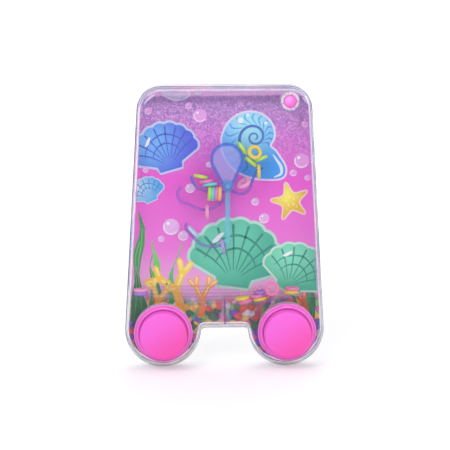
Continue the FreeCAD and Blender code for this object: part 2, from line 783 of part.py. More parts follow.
def floor_rings():
    """Rings lying on the floor in stacks, and one standing against the front."""
    rings = {}
    left = -half_width * left_stack_share
    right = plateau_edge_x + ring_radius * right_stack_share
    pile = trough_edge_x - ring_radius * pile_share
    heap = pile - 2 * (ring_radius + ring_gap)
    places = (
        ("ring_floor_purple", left, 0, loose_y),
        ("ring_floor_rose", left - ring_gap, 1, loose_y),
        ("ring_heap_pink", heap, 0, loose_y),
        ("ring_heap_yellow", heap - ring_radius * heap_shift_share, 1, loose_y),
        ("ring_pile_yellow", pile, 0, heap_y),
        ("ring_pile_pink", pile - ring_radius * pile_shift_share, 1, heap_y),
        ("ring_pile_purple", pile + ring_radius * purple_shift_share, 2, heap_y),
        ("ring_stack_yellow", right, 0, loose_y),
        ("ring_stack_pink", right + ring_chamfer, 1, loose_y),
    )
    for name, x, layer, y in places:
        rings[name] = toss_ring(floor_centre(x, layer, y), floor_normal(x))
    upright_y = face_inner_y + ring_thickness / 2 + ring_gap
    upright_x = trough_edge_x + ring_radius * upright_share
    upright_z = floor_z(upright_x) + ring_radius * upright_rise_share
    rings["ring_upright_pink"] = toss_ring(V(upright_x, upright_y, upright_z), V(0, 1, 0))
    return rings


# Places of the rings, as shares of the ring's radius or of the arm that holds them
cup_seat_share = 0.9
cup_cyan_share = 0.22
cup_pink_share = 0.45
cup_lime_share = 0.2
perch_lime_share = 0.55
perch_yellow_shares = (0.5, -0.87, 1.44)
perch_yellow_axis_shares = (0.28, -0.88, 0.38)
cup_rose_reach_share = 0.27
cup_rose_shares = (0.33, 0.0, 1.47)
cup_rose_axis_shares = (-0.45, -0.35, 0.82)
tip_reach_share = 0.93
pale_reach_share = 0.345
lilac_reach_share = 0.15
lilac_axis_shares = (1.0, 0.0, 0.2)
white_reach_share = 0.8
left_stack_share = 0.838
right_stack_share = 2.0
pile_share = 1.1
pile_shift_share = 0.25
heap_shift_share = 0.3
purple_shift_share = 0.3
upright_share = 0.45
upright_rise_share = 1.45

# The finished set of pieces
pieces = {
    "front_shell": front_shell(),
    "back_shell": back_shell(),
    "picture_card": picture_card(),
    "back_cover": back_cover(),
    "ring_floor": ring_floor(),
    "nozzle_block": nozzle_block(),
    "catch_wheel": catch_wheel(),
    "hook_tree": hook_tree(),
    "hub_pin": hub_pin(),
    "filler_neck": filler_neck(),
    "filler_plug": filler_plug(),
}
for side_name, side in (("left", -1), ("right", 1)):
    pieces[side_name + "_button_collar"] = button_collar(side)
    pieces[side_name + "_button_cap"] = button_cap(side)
    pieces[side_name + "_pump_bulb"] = pump_bulb(side)
for rings in (arm_rings(), perch_rings(), tree_rings(), floor_rings()):
    pieces.update(rings)
for name, shape in pieces.items():
    shape.exportStep("parts/" + name + ".step")
print(len(pieces), "pieces")
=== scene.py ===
# %% [markdown]
# # A handheld water game
#
# This lesson dresses a handheld water game: a clear tank on two round feet, a picture
# card behind it, two pink push buttons, a turning catch wheel, fixed hooks and many
# small toss rings. The solids come from the CAD model and stay where they are. Here they
# get their finishes, and the thin printed and wet details are built on top.

# %% Load the frame
import bpy
import bmesh
import random
from math import atan2, cos, dist, exp, hypot, pi, radians, sin
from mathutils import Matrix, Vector


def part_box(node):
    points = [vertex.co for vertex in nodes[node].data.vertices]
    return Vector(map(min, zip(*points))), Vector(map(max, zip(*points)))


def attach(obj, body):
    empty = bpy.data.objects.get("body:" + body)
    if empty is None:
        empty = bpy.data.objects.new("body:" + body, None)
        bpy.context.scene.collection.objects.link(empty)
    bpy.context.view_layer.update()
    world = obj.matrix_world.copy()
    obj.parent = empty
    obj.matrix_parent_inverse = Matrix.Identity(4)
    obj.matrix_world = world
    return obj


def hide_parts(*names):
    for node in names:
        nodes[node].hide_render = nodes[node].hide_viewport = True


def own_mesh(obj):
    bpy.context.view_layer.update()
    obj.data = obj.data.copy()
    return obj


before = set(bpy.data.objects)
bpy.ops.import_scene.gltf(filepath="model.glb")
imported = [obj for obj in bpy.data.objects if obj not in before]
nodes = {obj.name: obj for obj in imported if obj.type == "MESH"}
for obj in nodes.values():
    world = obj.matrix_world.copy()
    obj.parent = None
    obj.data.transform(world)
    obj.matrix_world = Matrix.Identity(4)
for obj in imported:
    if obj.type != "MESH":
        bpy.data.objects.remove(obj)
scene = bpy.context.scene
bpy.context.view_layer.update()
mm = 0.001
print("pieces from the CAD model:", len(nodes))

# %% [markdown]
# The camera looks at the front from a little above and a little left, through a long
# lens. A long lens keeps the two sides of the tank nearly parallel, as a product
# picture does. The target is half way up the object.

# %% Camera
camera_side = radians(-2.5)
camera_height = radians(11.5)
camera_distance = 1.0
target = Vector((0, 0, 73.15 * mm))


def in_scene(name, data):
    """A new object that stands in the scene."""
    made = bpy.data.objects.new(name, data)
    scene.collection.objects.link(made)
    return made


towards_camera = Vector((
    sin(camera_side) * cos(camera_height),
    -cos(camera_side) * cos(camera_height),
    sin(camera_height)))
camera = in_scene("camera", bpy.data.cameras.new("camera"))
camera.data.lens = 161.6
camera.data.sensor_width = 36
camera.location = target + towards_camera * camera_distance
camera.rotation_euler = towards_camera.to_track_quat("Z", "Y").to_euler()
camera.data.clip_start = 0.01
scene.camera = camera
print("camera stands at", [round(v, 3) for v in camera.location])

# %% [markdown]
# Every finish here is a small node graph. A graph object keeps them short: it knows the
# point on the surface and the way that the surface faces, it adds nodes, and it has a
# short name for each blend and shader that comes back often. Its values can be added and
# multiplied as in a formula, and each sign adds a Math node. Tones are written as screen
# colours from 0 to 255, because that is how a picture shows them.

# %% Small helpers for node graphs
def colour(red, green, blue):
    """A screen colour of 0 to 255 as the linear colour that a shader takes."""
    linear = []
    for part in (red, green, blue):
        share = part / 255
        linear.append(share / 12.92 if share <= 0.04045 else ((share + 0.055) / 1.055) ** 2.4)
    return (*linear, 1.0)


class Value:
    """A result of a node that can be part of a formula. Each sign adds a Math node."""

    def __init__(self, graph, socket):
        self.graph, self.socket = graph, socket

    def __add__(self, other):
        return self.graph.math("ADD", self, other)

    def __sub__(self, other):
        return self.graph.math("SUBTRACT", self, other)

    def __rsub__(self, other):
        return self.graph.math("SUBTRACT", other, self)

    def __mul__(self, other):
        return self.graph.math("MULTIPLY", self, other)

    def __abs__(self):
        return self.graph.math("ABSOLUTE", self)


class Graph:
    """The nodes of one finish. An input can be a number, a colour, a value or a node."""

    def __init__(self, owner, output="OutputMaterial"):
        self.owner = bpy.data.materials.new(owner) if isinstance(owner, str) else owner
        self.owner.use_nodes = True
        self.nodes, self.links = self.owner.node_tree.nodes, self.owner.node_tree.links
        self.nodes.clear()
        self.output = self.add(output)
        place = self.add("TexCoord").outputs
        self.point = place["Object"]
        self.x, self.y, self.z = self.parts_of(self.point)
        self.facing_x, self.facing_y, self.facing_z = self.parts_of(place["Normal"])

    def put(self, socket, value):
        """Links a socket or a node to an input, or sets a plain value on it."""
        if isinstance(value, Value):
            value = value.socket
        if isinstance(value, bpy.types.Node):
            value = value.outputs[0]
        if isinstance(value, bpy.types.NodeSocket):
            self.links.new(value, socket)
        else:
            socket.default_value = value

    def add(self, kind, **inputs):
        """Adds a node. Its inputs go by name, or by number as i0, i1 and so on."""
        node = self.nodes.new("ShaderNode" + kind)
        for name, value in inputs.items():
            key = int(name[1:]) if name[1:].isdigit() else name.replace("_", " ")
            self.put(node.inputs[key], value)
        return node

    def parts_of(self, vector):
        """The three parts of a vector."""
        return [Value(self, part) for part in self.add("SeparateXYZ", Vector=vector).outputs]

    def math(self, operation, a, b=0.0):
        """One Math node."""
        node = self.add("Math", i0=a, i1=b)
        node.operation = operation
        return Value(self, node.outputs[0])

    def length(self, a, b):
        """The length of a slanted line that goes a across and b up."""
        return self.math("SQRT", a * a + b * b)

    def away_from(self, x, z):
        """The distance from a point, seen from the front."""
        return self.length(self.x - x, self.z - z)

    def level(self, value, low, high):
        """A smooth value that is 0 at low and 1 at high. Low may be the larger one."""
        node = self.add("MapRange", Value=value, From_Min=low, From_Max=high)
        node.interpolation_type = "SMOOTHSTEP"
        return Value(self, node.outputs[0])

    def near_feet(self):
        """1 in the lobes and 0 higher up. The pale floor shows in the rim of the lobes."""
        return self.level(self.z, 48 * mm, 22 * mm)

    def noise(self, scale, detail=2.0):
        """Soft random values over the surface."""
        node = self.add("TexNoise", Vector=self.point, Scale=scale, Detail=detail)
        return Value(self, node.outputs["Fac"])

    def bump(self, height, strength, distance):
        return self.add("Bump", Height=height, Strength=strength, Distance=distance)

    def blend(self, share, first, second):
        """A tone between two tones."""
        node = self.nodes.new("ShaderNodeMix")
        node.data_type = "RGBA"
        for index, value in ((0, share), (6, first), (7, second)):
            if isinstance(value, (tuple, list)) and len(value) == 3:
                value = colour(*value)
            self.put(node.inputs[index], value)
        return node.outputs[2]

    def ramp(self, value, stops, kind="LINEAR"):
        """Tones along a value. Each stop is a place from 0 to 1 and its tone."""
        node = self.add("ValToRGB", Fac=value)
        elements = node.color_ramp.elements
        node.color_ramp.interpolation = kind
        while len(elements) < len(stops):
            elements.new(0.5)
        for element, (spot, tone) in zip(elements, stops):
            element.position = spot
            element.color = colour(*tone)
        return node.outputs[0]

    def body(self, tone, roughness, **more):
        """Solid plastic, print or rubber."""
        return self.add("BsdfPrincipled", Base_Color=tone, Roughness=roughness, **more)

    def gloss(self, roughness, **more):
        return self.add("BsdfGlossy", Color=(1, 1, 1, 1), Roughness=roughness, **more)

    def mix(self, share, first, second):
        return self.add("MixShader", i0=share, i1=first, i2=second)

    def hazy(self, share, passing, tone, roughness):
        """Clear plastic with a share of solid body in it."""
        see = self.add("BsdfTransparent", Color=passing)
        return self.mix(share, see, self.body(tone, roughness))

    def surface(self, shader):
        """Wires the last shader to the output and hands over the finished material."""
        self.put(self.output.inputs[0], shader)
        return self.owner


print("red 255 becomes", colour(255, 0, 0))

# %% [markdown]
# The floor is plain and pale, and everything behind the object is white. The camera sees
# the floor a little lighter than it is lit, and lighter still far from the lamps. That
# keeps a soft shadow and a white background without more light on the object. Clear
# plastic and gloss see the same white.

# %% Floor and world
def seen_directly(g):
    """1 for rays that show a surface: from the camera, in gloss and through glass."""
    path = g.add("LightPath").outputs
    first = g.math("MAXIMUM", path["Is Camera Ray"], path["Is Glossy Ray"])
    return g.math("MAXIMUM", first, path["Is Transmission Ray"])


def floor_finish():
    """Pale grey that looks lighter far from the lamps."""
    g = Graph("pale_floor")
    tone = g.blend(g.noise(6.0), (236, 236, 238), (240, 240, 241))
    far = g.add("VectorMath", i0=g.point)
    far.operation = "LENGTH"
    lift = g.level(far.outputs["Value"], 0.15, 1.6) * 0.6 + 0.34
    glow = g.add("Emission", Color=tone, Strength=seen_directly(g) * lift)
    return g.surface(g.add("AddShader", i0=g.add("BsdfDiffuse", Color=tone), i1=glow))


half_floor = 4.0
floor_mesh = bpy.data.meshes.new("studio_floor")
floor_mesh.from_pydata([(x, y, 0) for x, y in (
    (-half_floor, -half_floor), (half_floor, -half_floor),
    (half_floor, half_floor), (-half_floor, half_floor))], [], [(0, 1, 2, 3)])
floor_mesh.materials.append(floor_finish())
floor = in_scene("studio_floor", floor_mesh)
floor.location.z = -0.05 * mm

world = bpy.data.worlds.new("white_room")
scene.world = world
room = Graph(world, "OutputWorld")
white = (1.0, 1.0, 1.0, 1.0)
room_light = room.add("Background", Color=white, Strength=0.62)
room_seen = room.add("Background", Color=white, Strength=1.0)
room.surface(room.mix(seen_directly(room), room_light, room_seen))
scene.view_settings.view_transform = "Standard"
scene.cycles.transparent_max_bounces = 32
print("floor is", 2 * half_floor, "m wide")

# %% [markdown]
# Three large soft lamps: the main one high on the left in front, a weaker one on the
# right, and one above and behind for the rims. They are big and far off, so that the
# buttons get broad soft gloss and no hard spots.

# %% Lamps
def soft_lamp(name, spot, width, power):
    """A square lamp that looks at the middle of the object."""
    light = bpy.data.lights.new(name, "AREA")
    light.size = width
    light.energy = power
    lamp = in_scene(name, light)
    lamp.location = spot
    lamp.rotation_euler = (Vector(spot) - target).to_track_quat("Z", "Y").to_euler()


soft_lamp("main_lamp", (-0.55, -0.9, 0.95), 0.7, 5.2)
soft_lamp("fill_lamp", (0.8, -0.8, 0.45), 0.7, 2.5)
soft_lamp("rim_lamp", (0.1, 0.7, 0.9), 0.6, 2.2)

# %% [markdown]
# The two halves of the tank are clear moulded plastic. A wall that is 1.3 mm thick bends
# the picture behind it very little, so a mix of see-through and gloss, with more gloss
# at a glancing angle, shows it as well as full glass would, and it stays bright and
# quick. The gloss is only on the outer side of each face: light that leaves the plastic
# passes freely, or the steep light of the lamps would stop inside it. The tank is full of
# water, and plastic hardly gleams where water wets it, so the back half loses nearly all
# gloss on the faces that look forwards. The walls that run from front to back gather
# light along the rim, and that light is painted: a faint milky tone, partly the plastic's
# haze and partly painted glow, with painted violet lines of light and shade at their
# edges. The painted glow is weaker on walls that face down, and whiter and weaker near
# the feet, as a painted reflection of the pale floor that shows in them.

# %% Clear plastic
painted_wall_lines = ((-2.6, 0.4), (2.3, 0.16), (5.2, 0.34), (7.9, 0.16), (10.3, 0.4))
plastic_ior, wetted_ior = 1.45, 1.2


def outer_gloss(g, ior):
    """The share of gloss on the outer side of a face. From inside, light passes freely."""
    inside = Value(g, g.add("NewGeometry").outputs["Backfacing"])
    return Value(g, g.add("Fresnel", IOR=ior)) * (1.0 - inside)


def clear_plastic(name, passing, painted_line_tone, edge_share, roughness=0.07, wet_share=0.0):
    """See-through plastic with gloss, and a pale tone on its edge walls: haze with painted glow and painted
    lines of light and shade.
    """
    g = Graph(name)
    gloss = g.gloss(roughness, Normal=g.bump(g.noise(220.0, 1.0), 0.03, 0.4 * mm))
    wet = g.level(g.facing_y, -0.3, -0.7) * wet_share
    shine = outer_gloss(g, plastic_ior) * (1.0 - wet)
    clear = g.mix(shine, g.add("BsdfTransparent", Color=passing), gloss)

    # Painted light and shade: a pale glow in the edge walls, with lines at set depths.
    wall = g.level(1.0 - abs(g.facing_y), 0.35, 0.95)
    wander = (g.noise(45.0, 1.0) - 0.5) * (0.25 * mm)
    depth = g.y + wander
    line = 0.0
    for line_y, reach in painted_wall_lines:
        off = abs(depth - line_y * mm)
        line = g.math("MAXIMUM", line, g.level(off, reach * mm, reach * 0.4 * mm))
    near_feet = g.near_feet()
    line_tone = g.blend(g.level(g.noise(34.0, 1.0), 0.4, 0.6), painted_line_tone, (146, 128, 186))
    # Painted reflection of the pale floor: the lines turn whiter near the feet.
    line_tone = g.blend(near_feet * 0.8, line_tone, (226, 232, 246))
    haze_and_painted_glow = g.body(g.blend(line, (250, 247, 253), line_tone), 0.15)

    share = line * edge_share + 0.16
    # The painted glow is weaker on walls that face down, away from the lamps, and near the feet.
    lit = g.level(g.facing_z, -0.7, 0.1) * 0.7 + 0.3
    amount = wall * share * lit
    amount = amount * (1.0 - near_feet * 0.5)
    return g.surface(g.mix(amount, clear, haze_and_painted_glow))


def dress(finish, *names):
    """Gives a finish to pieces of the CAD model."""
    for name in names:
        nodes[name].data.materials.clear()
        nodes[name].data.materials.append(finish)


tank_tint = (0.995, 0.99, 0.996, 1)
cover_tint = (0.99, 0.99, 0.992, 1)
dress(clear_plastic("clear_front", tank_tint, (204, 168, 214), 0.4), "front_shell")
dress(clear_plastic("clear_back", tank_tint, (190, 158, 206), 0.4, wet_share=0.92), "back_shell")
dress(clear_plastic("clear_cover", cover_tint, (214, 206, 220), 0.3, 0.15), "back_cover")
print("lines in the walls at y =", [line_y for line_y, reach in painted_wall_lines], "mm")

# %% [markdown]
# The edges of clear mouldings catch light and show as fine lines that run round the whole
# outline. Real glass rendering would need many light paths for lines this thin, so they
# are painted into the plastic as narrow strips: at the round edge of the face, in the
# wall behind it, at the step of the flange, at the flange's edge and seam, and at the
# back. The pale strips are painted highlights, the dark ones painted shade, and the rose
# strip at the face's edge holds both. Two broader strips give the band between the lines
# its pale painted glow. Near the feet the pale strips and the glow turn whiter and
# fainter, a painted reflection of the pale floor. The outline is read from the rim of the
# card, which has the same form 1.5 mm further in, and is moved outwards. The neck of the
# filler is the brightest clear piece, with a broken painted gleam.

# %% Fine lines round the rim
def rim_of(mesh, y):
    """The outline of a flat plate at one depth, as (x, z) points in order."""
    build = bmesh.new()
    build.from_mesh(mesh)
    near = 0.01 * mm
    flat = {face for face in build.faces if all(abs(end.co.y - y) < near for end in face.verts)}
    links = {}
    for edge in build.edges:
        if sum(face in flat for face in edge.link_faces) == 1:
            a, b = ((round(end.co.x / mm, 3), round(end.co.z / mm, 3)) for end in edge.verts)
            links.setdefault(a, []).append(b)
            links.setdefault(b, []).append(a)
    build.free()
    start = max(links)
    loop, last, here = [start], None, start
    while True:
        last, here = here, [point for point in links[here] if point != last][0]
        if here == start:
            return loop
        loop.append(here)


def moved_out(outline, by, fair=True):
    """A closed outline moved outwards. At each point both edges count alike, or by length."""
    edges = list(zip(outline, outline[1:] + outline[:1]))
    way = 1 if sum(a[0] * b[1] - b[0] * a[1] for a, b in edges) > 0 else -1
    moved = []
    for here, *both in zip(outline, edges[-1:] + edges[:-1], edges):
        out_x = out_z = 0.0
        for a, b in both:
            weight = 1 / dist(a, b) if fair else 1.0
            out_x += (b[1] - a[1]) * weight
            out_z += (a[0] - b[0]) * weight
        reach = way * by / (hypot(out_x, out_z) or 1.0)
        moved.append((here[0] + out_x * reach, here[1] + out_z * reach))
    return moved


def line_finish(name, first, second, at_feet, seen, seen_at_feet):
    """A thin painted line in clear plastic: painted light in pale tones, painted shade in dark ones. Its
    tone drifts along the rim and near the feet turns to a painted reflection of the floor.
    """
    g = Graph(name)
    near_feet = g.near_feet()
    tone = g.blend(g.level(g.noise(60.0), 0.38, 0.62), first, second)
    tone = g.blend(near_feet, tone, at_feet)
    steady = g.level(g.noise(110.0), 0.3, 0.6) * 0.45 + 0.55
    share = steady * (seen - near_feet * (seen - seen_at_feet))
    return g.surface(g.hazy(share, (0.99, 0.98, 0.99, 1), tone, 0.25))


def on_tank(name, shape, finish):
    """A new piece that belongs to the tank, from a bmesh or from points and faces in mm."""
    mesh = bpy.data.meshes.new(name)
    if isinstance(shape, bmesh.types.BMesh):
        shape.to_mesh(mesh)
        shape.free()
    else:
        points, faces = shape
        mesh.from_pydata([[part * mm for part in point] for point in points], [], faces)
    mesh.materials.append(finish)
    piece = in_scene(name, mesh)
    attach(piece, "tank")


def rim_line(name, offset, width, y, finish):
    """A flat strip that follows the rim at one depth in the wall."""
    count = len(card_rim)
    loops = moved_out(card_rim, offset + width / 2) + moved_out(card_rim, offset - width / 2)
    faces = [(i, (i + 1) % count, count + (i + 1) % count, count + i) for i in range(count)]
    on_tank(name, ([(x, y, z) for x, z in loops], faces), finish)


def neck_finish():
    """The filler neck: bright clear plastic with a broken white painted gleam on its front."""
    g = Graph("clear_neck")
    # Painted highlight: the faces that look forwards get more pale body.
    front = g.level(g.facing_y * -1.0, 0.3, 0.9)
    tone = g.blend(g.level(g.noise(900.0, 3.0), 0.35, 0.7), (252, 246, 253), (206, 188, 216))
    share = front * 0.42 + 0.3
    return g.surface(g.hazy(share, (0.95, 0.93, 0.96, 1), tone, 0.12))


card_front, card_back = (corner.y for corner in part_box("picture_card"))
card_rim = rim_of(nodes["picture_card"].data, card_front)
painted_shade_line = line_finish("rim_line_dark", (104, 98, 136), (74, 96, 116), (92, 104, 128), 1.0, 0.95)
painted_light_line = line_finish("rim_line_pale", (250, 248, 254), (222, 232, 248), (250, 253, 255), 0.85, 0.5)
rose_line = line_finish("rim_line_rose", (196, 120, 190), (116, 116, 180), (138, 150, 178), 0.9, 0.85)
painted_glow_line = line_finish("rim_glow", (236, 176, 226), (196, 190, 240), (244, 250, 255), 0.6, 0.15)
for name, offset, width, depth, finish, slot in (
        ("rim_line_face", -0.75, 0.16, -2.9, rose_line, "clear_front"),
        ("rim_line_wall", -0.2, 0.55, 1.0, painted_light_line, "clear_front"),
        ("rim_line_step", 0.42, 0.2, 3.6, painted_shade_line, "clear_front"),
        ("rim_line_flange", 1.27, 0.34, 4.1, painted_shade_line, "clear_front"),
        ("rim_line_seam", 0.95, 0.3, 5.0, painted_light_line, "clear_front"),
        ("rim_line_back", 1.28, 0.34, 10.3, painted_shade_line, "clear_back"),
        ("rim_glow_front", 0.75, 0.8, 4.7, painted_glow_line, "clear_front"),
        ("rim_glow_back", 0.75, 0.9, 8.6, painted_glow_line, "clear_back")):
    rim_line(name, offset, width, depth, finish)
dress(neck_finish(), "filler_neck")
print("rim outline has", len(card_rim), "points")

# %% [markdown]
# A tank that is full of water keeps a little air. It floats as one flat bubble under the
# roof, near the left corner, and shows as a bright lens with a dark outer edge: a painted
# highlight inside and painted shade at the edge, where the surface turns away. The
# bubble is a squashed ball whose top is pressed flat against the roof of the tank. In the
# round corners the plastic throws a slanting gleam, laid in as a short pale strip.

# %% Air bubble and corner gleams
tank_roof = 139.6
gleam_depth = -2.4


def bubble_finish():
    """Nearly clear, with a painted highlight and then painted shade at the edge, where the surface turns
    away.
    """
    g = Graph("air_bubble")
    turn = g.add("LayerWeight", Blend=0.5).outputs["Facing"]
    # Painted highlight in the middle, painted shade where the surface turns away.
    inner = g.blend(g.level(g.noise(240.0), 0.35, 0.65), (255, 250, 255), (198, 232, 255))
    tone = g.blend(g.level(turn, 0.74, 0.86), inner, (112, 78, 158))
    share = g.level(turn, 0.3, 0.52) * 0.75 + 0.16
    return g.surface(g.hazy(share, (0.98, 0.97, 0.99, 1), tone, 0.08))


def round_from(x, z, turn, reach):
    """The point that lies a reach away from (x, z), at an angle from the level line."""
    return (x + reach * cos(turn), z + reach * sin(turn))


def air_bubble(name, centre, size, finish):
    """A squashed and slightly lumpy ball under the roof of the tank, in mm."""
    build = bmesh.new()
    bmesh.ops.create_uvsphere(build, u_segments=40, v_segments=20, radius=1.0)
    for vertex in build.verts:
        x, y, z = vertex.co
        lumpy = 1 + 0.06 * sin(3 * x + 1.0) + 0.05 * cos(2 * y + 4 * x)
        vertex.co = (centre[0] + size[0] * x * lumpy, centre[1] + size[1] * y,
                     min(centre[2] + size[2] * z * lumpy, tank_roof))
    bmesh.ops.scale(build, vec=(mm, mm, mm), verts=build.verts)
    for face in build.faces:
        face.smooth = True
    on_tank(name, build, finish)


def gleam(name, centre, radius, first, last, width):
    """A pale strip along part of a round corner, in the front face of the tank."""
    points = []
    steps = 10
    for i in range(steps + 1):
        share = i / steps
        angle = radians(first + (last - first) * share)
        half = width / 2 * sin(pi * (0.12 + 0.76 * share))
        for reach in (radius - half, radius + half):
            x, z = round_from(*centre, angle, reach)
            points.append((x, gleam_depth, z))
    faces = [(2 * i, 2 * i + 1, 2 * i + 3, 2 * i + 2) for i in range(steps)]
    on_tank(name, (points, faces), gleam_line)


air = bubble_finish()
air_bubble("air_bubble_large", (-23.8, 2.6, 138.4), (7.6, 2.1, 3.2), air)
air_bubble("air_bubble_small", (-13.2, 2.6, 139.0), (1.8, 1.7, 1.3), air)
gleam_line = line_finish("corner_gleam", (250, 222, 255), (232, 196, 246), (250, 240, 255), 0.8, 0.8)
gleam("corner_gleam_left", (-32.0, 130.3), 8.4, 106, 154, 1.3)
gleam("corner_gleam_right", (32.6, 130.3), 8.4, 24, 54, 1.0)
print("the bubbles are pressed flat at", tank_roof, "mm above the feet")

# %% [markdown]
# The ribbed floor and the twin jet stand in the same clear plastic. The floor shows as
# fine pale and violet lines, one for each rib. The jet is pale violet and nearly clear,
# with a fine dark line up its middle where its channel runs.

# %% Ribbed floor and jet
def ribbed_finish():
    """Clear plastic with a faint violet body and a darker line for each rib."""
    g = Graph("clear_floor")
    ribs = g.add("TexWave", Vector=g.point, Scale=175.0, Distortion=0.8)
    ribs.bands_direction = "Z"
    rib = g.level(ribs.outputs["Fac"], 0.7, 0.95)
    tone = g.blend(g.noise(90.0, 3.0), (246, 232, 248), (206, 184, 222))
    tone = g.blend(rib, tone, (128, 96, 158))
    up = g.level(abs(g.facing_z), 0.35, 1.0)
    amount = up * 0.1 + 0.01 + rib * 0.15
    return g.surface(g.hazy(amount, (0.985, 0.97, 0.99, 1), tone, 0.18))


def jet_finish():
    """Clear plastic with a dark line along its middle."""
    g = Graph("violet_jet")
    channel = g.level(abs(g.x), 0.5 * mm, 0.3 * mm)
    tone = g.blend(g.level(g.noise(300.0), 0.35, 0.65), (196, 176, 232), (236, 226, 248))
    tone = g.blend(channel, tone, (92, 60, 128))
    amount = channel * 0.3 + 0.14
    return g.surface(g.hazy(amount, (0.97, 0.94, 0.98, 1), tone, 0.2))


dress(ribbed_finish(), "ring_floor")
dress(jet_finish(), "nozzle_block")
print("floor and jet dressed in", nodes["ring_floor"].data.materials[0].name,
      "and", nodes["nozzle_block"].data.materials[0].name)

# %% [markdown]
# The buttons are satin pink and the collars round them are glossier and more violet. A
# satin moulding is never one flat colour: fine grain breaks its gloss, and its tone
# drifts a little over the part. Each button also has painted shade, deeper towards its
# lower right, away from the light. The collar has painted highlights on its ridge and
# outer edge. Its distance from the button's middle gives those places. The stopper is a
# small glossy dome with a painted highlight at its upper left and painted shade, deep
# pink, round its edge.

# %% Pink plastics
button_x, button_z = 30.9, 19.0
ridge_radius, collar_radius = 12.9, 14.6
stopper_highlight_spot = (30.6, 136.6)
stopper_middle = (31.7, 135.3)


def pink_cap_finish():
    """Satin pink with a fine grain, and painted shade deeper towards the lower right of each button."""
    g = Graph("pink_cap")
    side = g.math("GREATER_THAN", g.x, 0.0) * 2.0 - 1.0
    across = g.x - side * (button_x * mm)
    down = button_z * mm - g.z
    # Painted shade: the tone deepens towards the lower right, away from the light at the upper left.
    deeper = g.level(across * 0.75 + down, -12 * mm, 15 * mm)
    tone = g.blend(deeper, (255, 106, 230), (255, 80, 180))
    tone = g.blend(g.noise(60.0, 3.0) * 0.2, tone, (255, 114, 224))
    grain = g.noise(2600.0)
    rough = grain * 0.12 + 0.38
    return g.surface(g.body(tone, rough, Normal=g.bump(grain, 0.12, 0.08 * mm)))


def pink_collar_finish():
    """Orchid pink gloss, with painted highlights on the ridge and on the outer edge."""
    g = Graph("pink_collar")
    away = g.length(abs(g.x) - button_x * mm, g.z - button_z * mm)
    off_ridge = abs(away - ridge_radius * mm)
    # Painted highlights on the ridge and the outer edge.
    ridge = g.level(off_ridge, 0.5 * mm, 0.15 * mm)
    edge = g.level(away, (collar_radius - 0.5) * mm, collar_radius * mm)
    tone = g.blend(g.noise(120.0, 3.0), (234, 98, 208), (246, 112, 220))
    tone = g.blend(g.math("MAXIMUM", ridge, edge) * 0.75, tone, (255, 150, 234))
    return g.surface(g.body(tone, 0.24, Normal=g.bump(g.noise(900.0), 0.06, 0.1 * mm)))


def soft_rubber(name, first, second, roughness):
    """Soft moulded rubber with a faint cloudiness."""
    g = Graph(name)
    tone = g.blend(g.noise(150.0, 3.0), first, second)
    return g.surface(g.body(tone, roughness, Normal=g.bump(g.noise(1800.0), 0.1, 0.1 * mm)))


def stopper_finish():
    """Glossy pink, with a painted highlight at the upper left and painted shade at the edge."""
    g = Graph("pink_stopper")
    # Painted highlight near the upper left, painted shade round the edge of the dome.
    painted_highlight_fade = g.level(g.away_from(*(part * mm for part in stopper_highlight_spot)), 0.5 * mm, 4.2 * mm)
    painted_edge_shade = g.level(g.away_from(*(part * mm for part in stopper_middle)), 2.3 * mm, 3.1 * mm)
    tone = g.blend(painted_highlight_fade, (255, 156, 244), (252, 92, 212))
    tone = g.blend(painted_edge_shade * 0.7, tone, (226, 56, 176))
    tone = g.blend(g.noise(500.0) * 0.12, tone, (255, 180, 244))
    return g.surface(g.body(tone, 0.16))


dress(pink_cap_finish(), "left_button_cap", "right_button_cap")
dress(pink_collar_finish(), "left_button_collar", "right_button_collar")
pump_rubber = soft_rubber("pump_rubber", (244, 214, 232), (232, 196, 220), 0.5)
dress(pump_rubber, "left_pump_bulb", "right_pump_bulb")
dress(stopper_finish(), "filler_plug")
print("buttons stand", 2 * button_x, "mm apart")

# %% [markdown]
# Each collar carries a small raised mark at the top, where the mould was filled. It is a
# short arc that lies on the collar's ridge and stands a third of a millimetre proud of it.

# %% Raised marks on the collars
mark_root = -4.0
mark_section = (  # distance from the button's middle, y
    (12.35, mark_root), (12.5, -4.5), (12.75, -4.75),
    (13.1, -4.75), (13.35, -4.5), (13.5, mark_root))
mark_half_angle = 9


def collar_mark(name, side):
    """A short raised arc on top of a collar, lower towards its ends."""
    build = bmesh.new()
    rows = []
    steps = 12
    for i in range(steps + 1):
        angle = radians(90 - mark_half_angle + 2 * mark_half_angle * i / steps)
        ease = sin(pi * (0.08 + 0.84 * i / steps)) ** 0.5
        rows.append([build.verts.new((
            (side * button_x + reach * cos(angle)) * mm,
            (mark_root + (y - mark_root) * ease) * mm,
            (button_z + reach * sin(angle)) * mm)) for reach, y in mark_section])
    for first, second in zip(rows, rows[1:]):
        for k in range(len(mark_section) - 1):
            build.faces.new((first[k], first[k + 1], second[k + 1], second[k]))
    bmesh.ops.recalc_face_normals(build, faces=build.faces[:])
    for face in build.faces:
        face.smooth = True
    on_tank(name, build, mark_pink)


mark_pink = soft_rubber("mark_pink", (250, 130, 222), (255, 150, 232), 0.22)
collar_mark("left_collar_mark", -1)
collar_mark("right_collar_mark", 1)
print("marks reach from y =", mark_root, "to", min(y for reach, y in mark_section), "mm")

# %% [markdown]
# Under each button sits a hollow rubber bulb, the pump, which folds flat when the button
# goes in. A copy of the bulb, with a mesh of its own, takes the place of the CAD piece
# and belongs to the tank.

# %% Pump bulbs
for side_name in ("left", "right"):
    still = nodes[side_name + "_pump_bulb"]
    soft_bulb = in_scene(side_name + "_soft_bulb", still.data.copy())
    soft_bulb.matrix_world = still.matrix_world.copy()
    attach(soft_bulb, "tank")
    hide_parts(side_name + "_pump_bulb")
    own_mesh(soft_bulb)

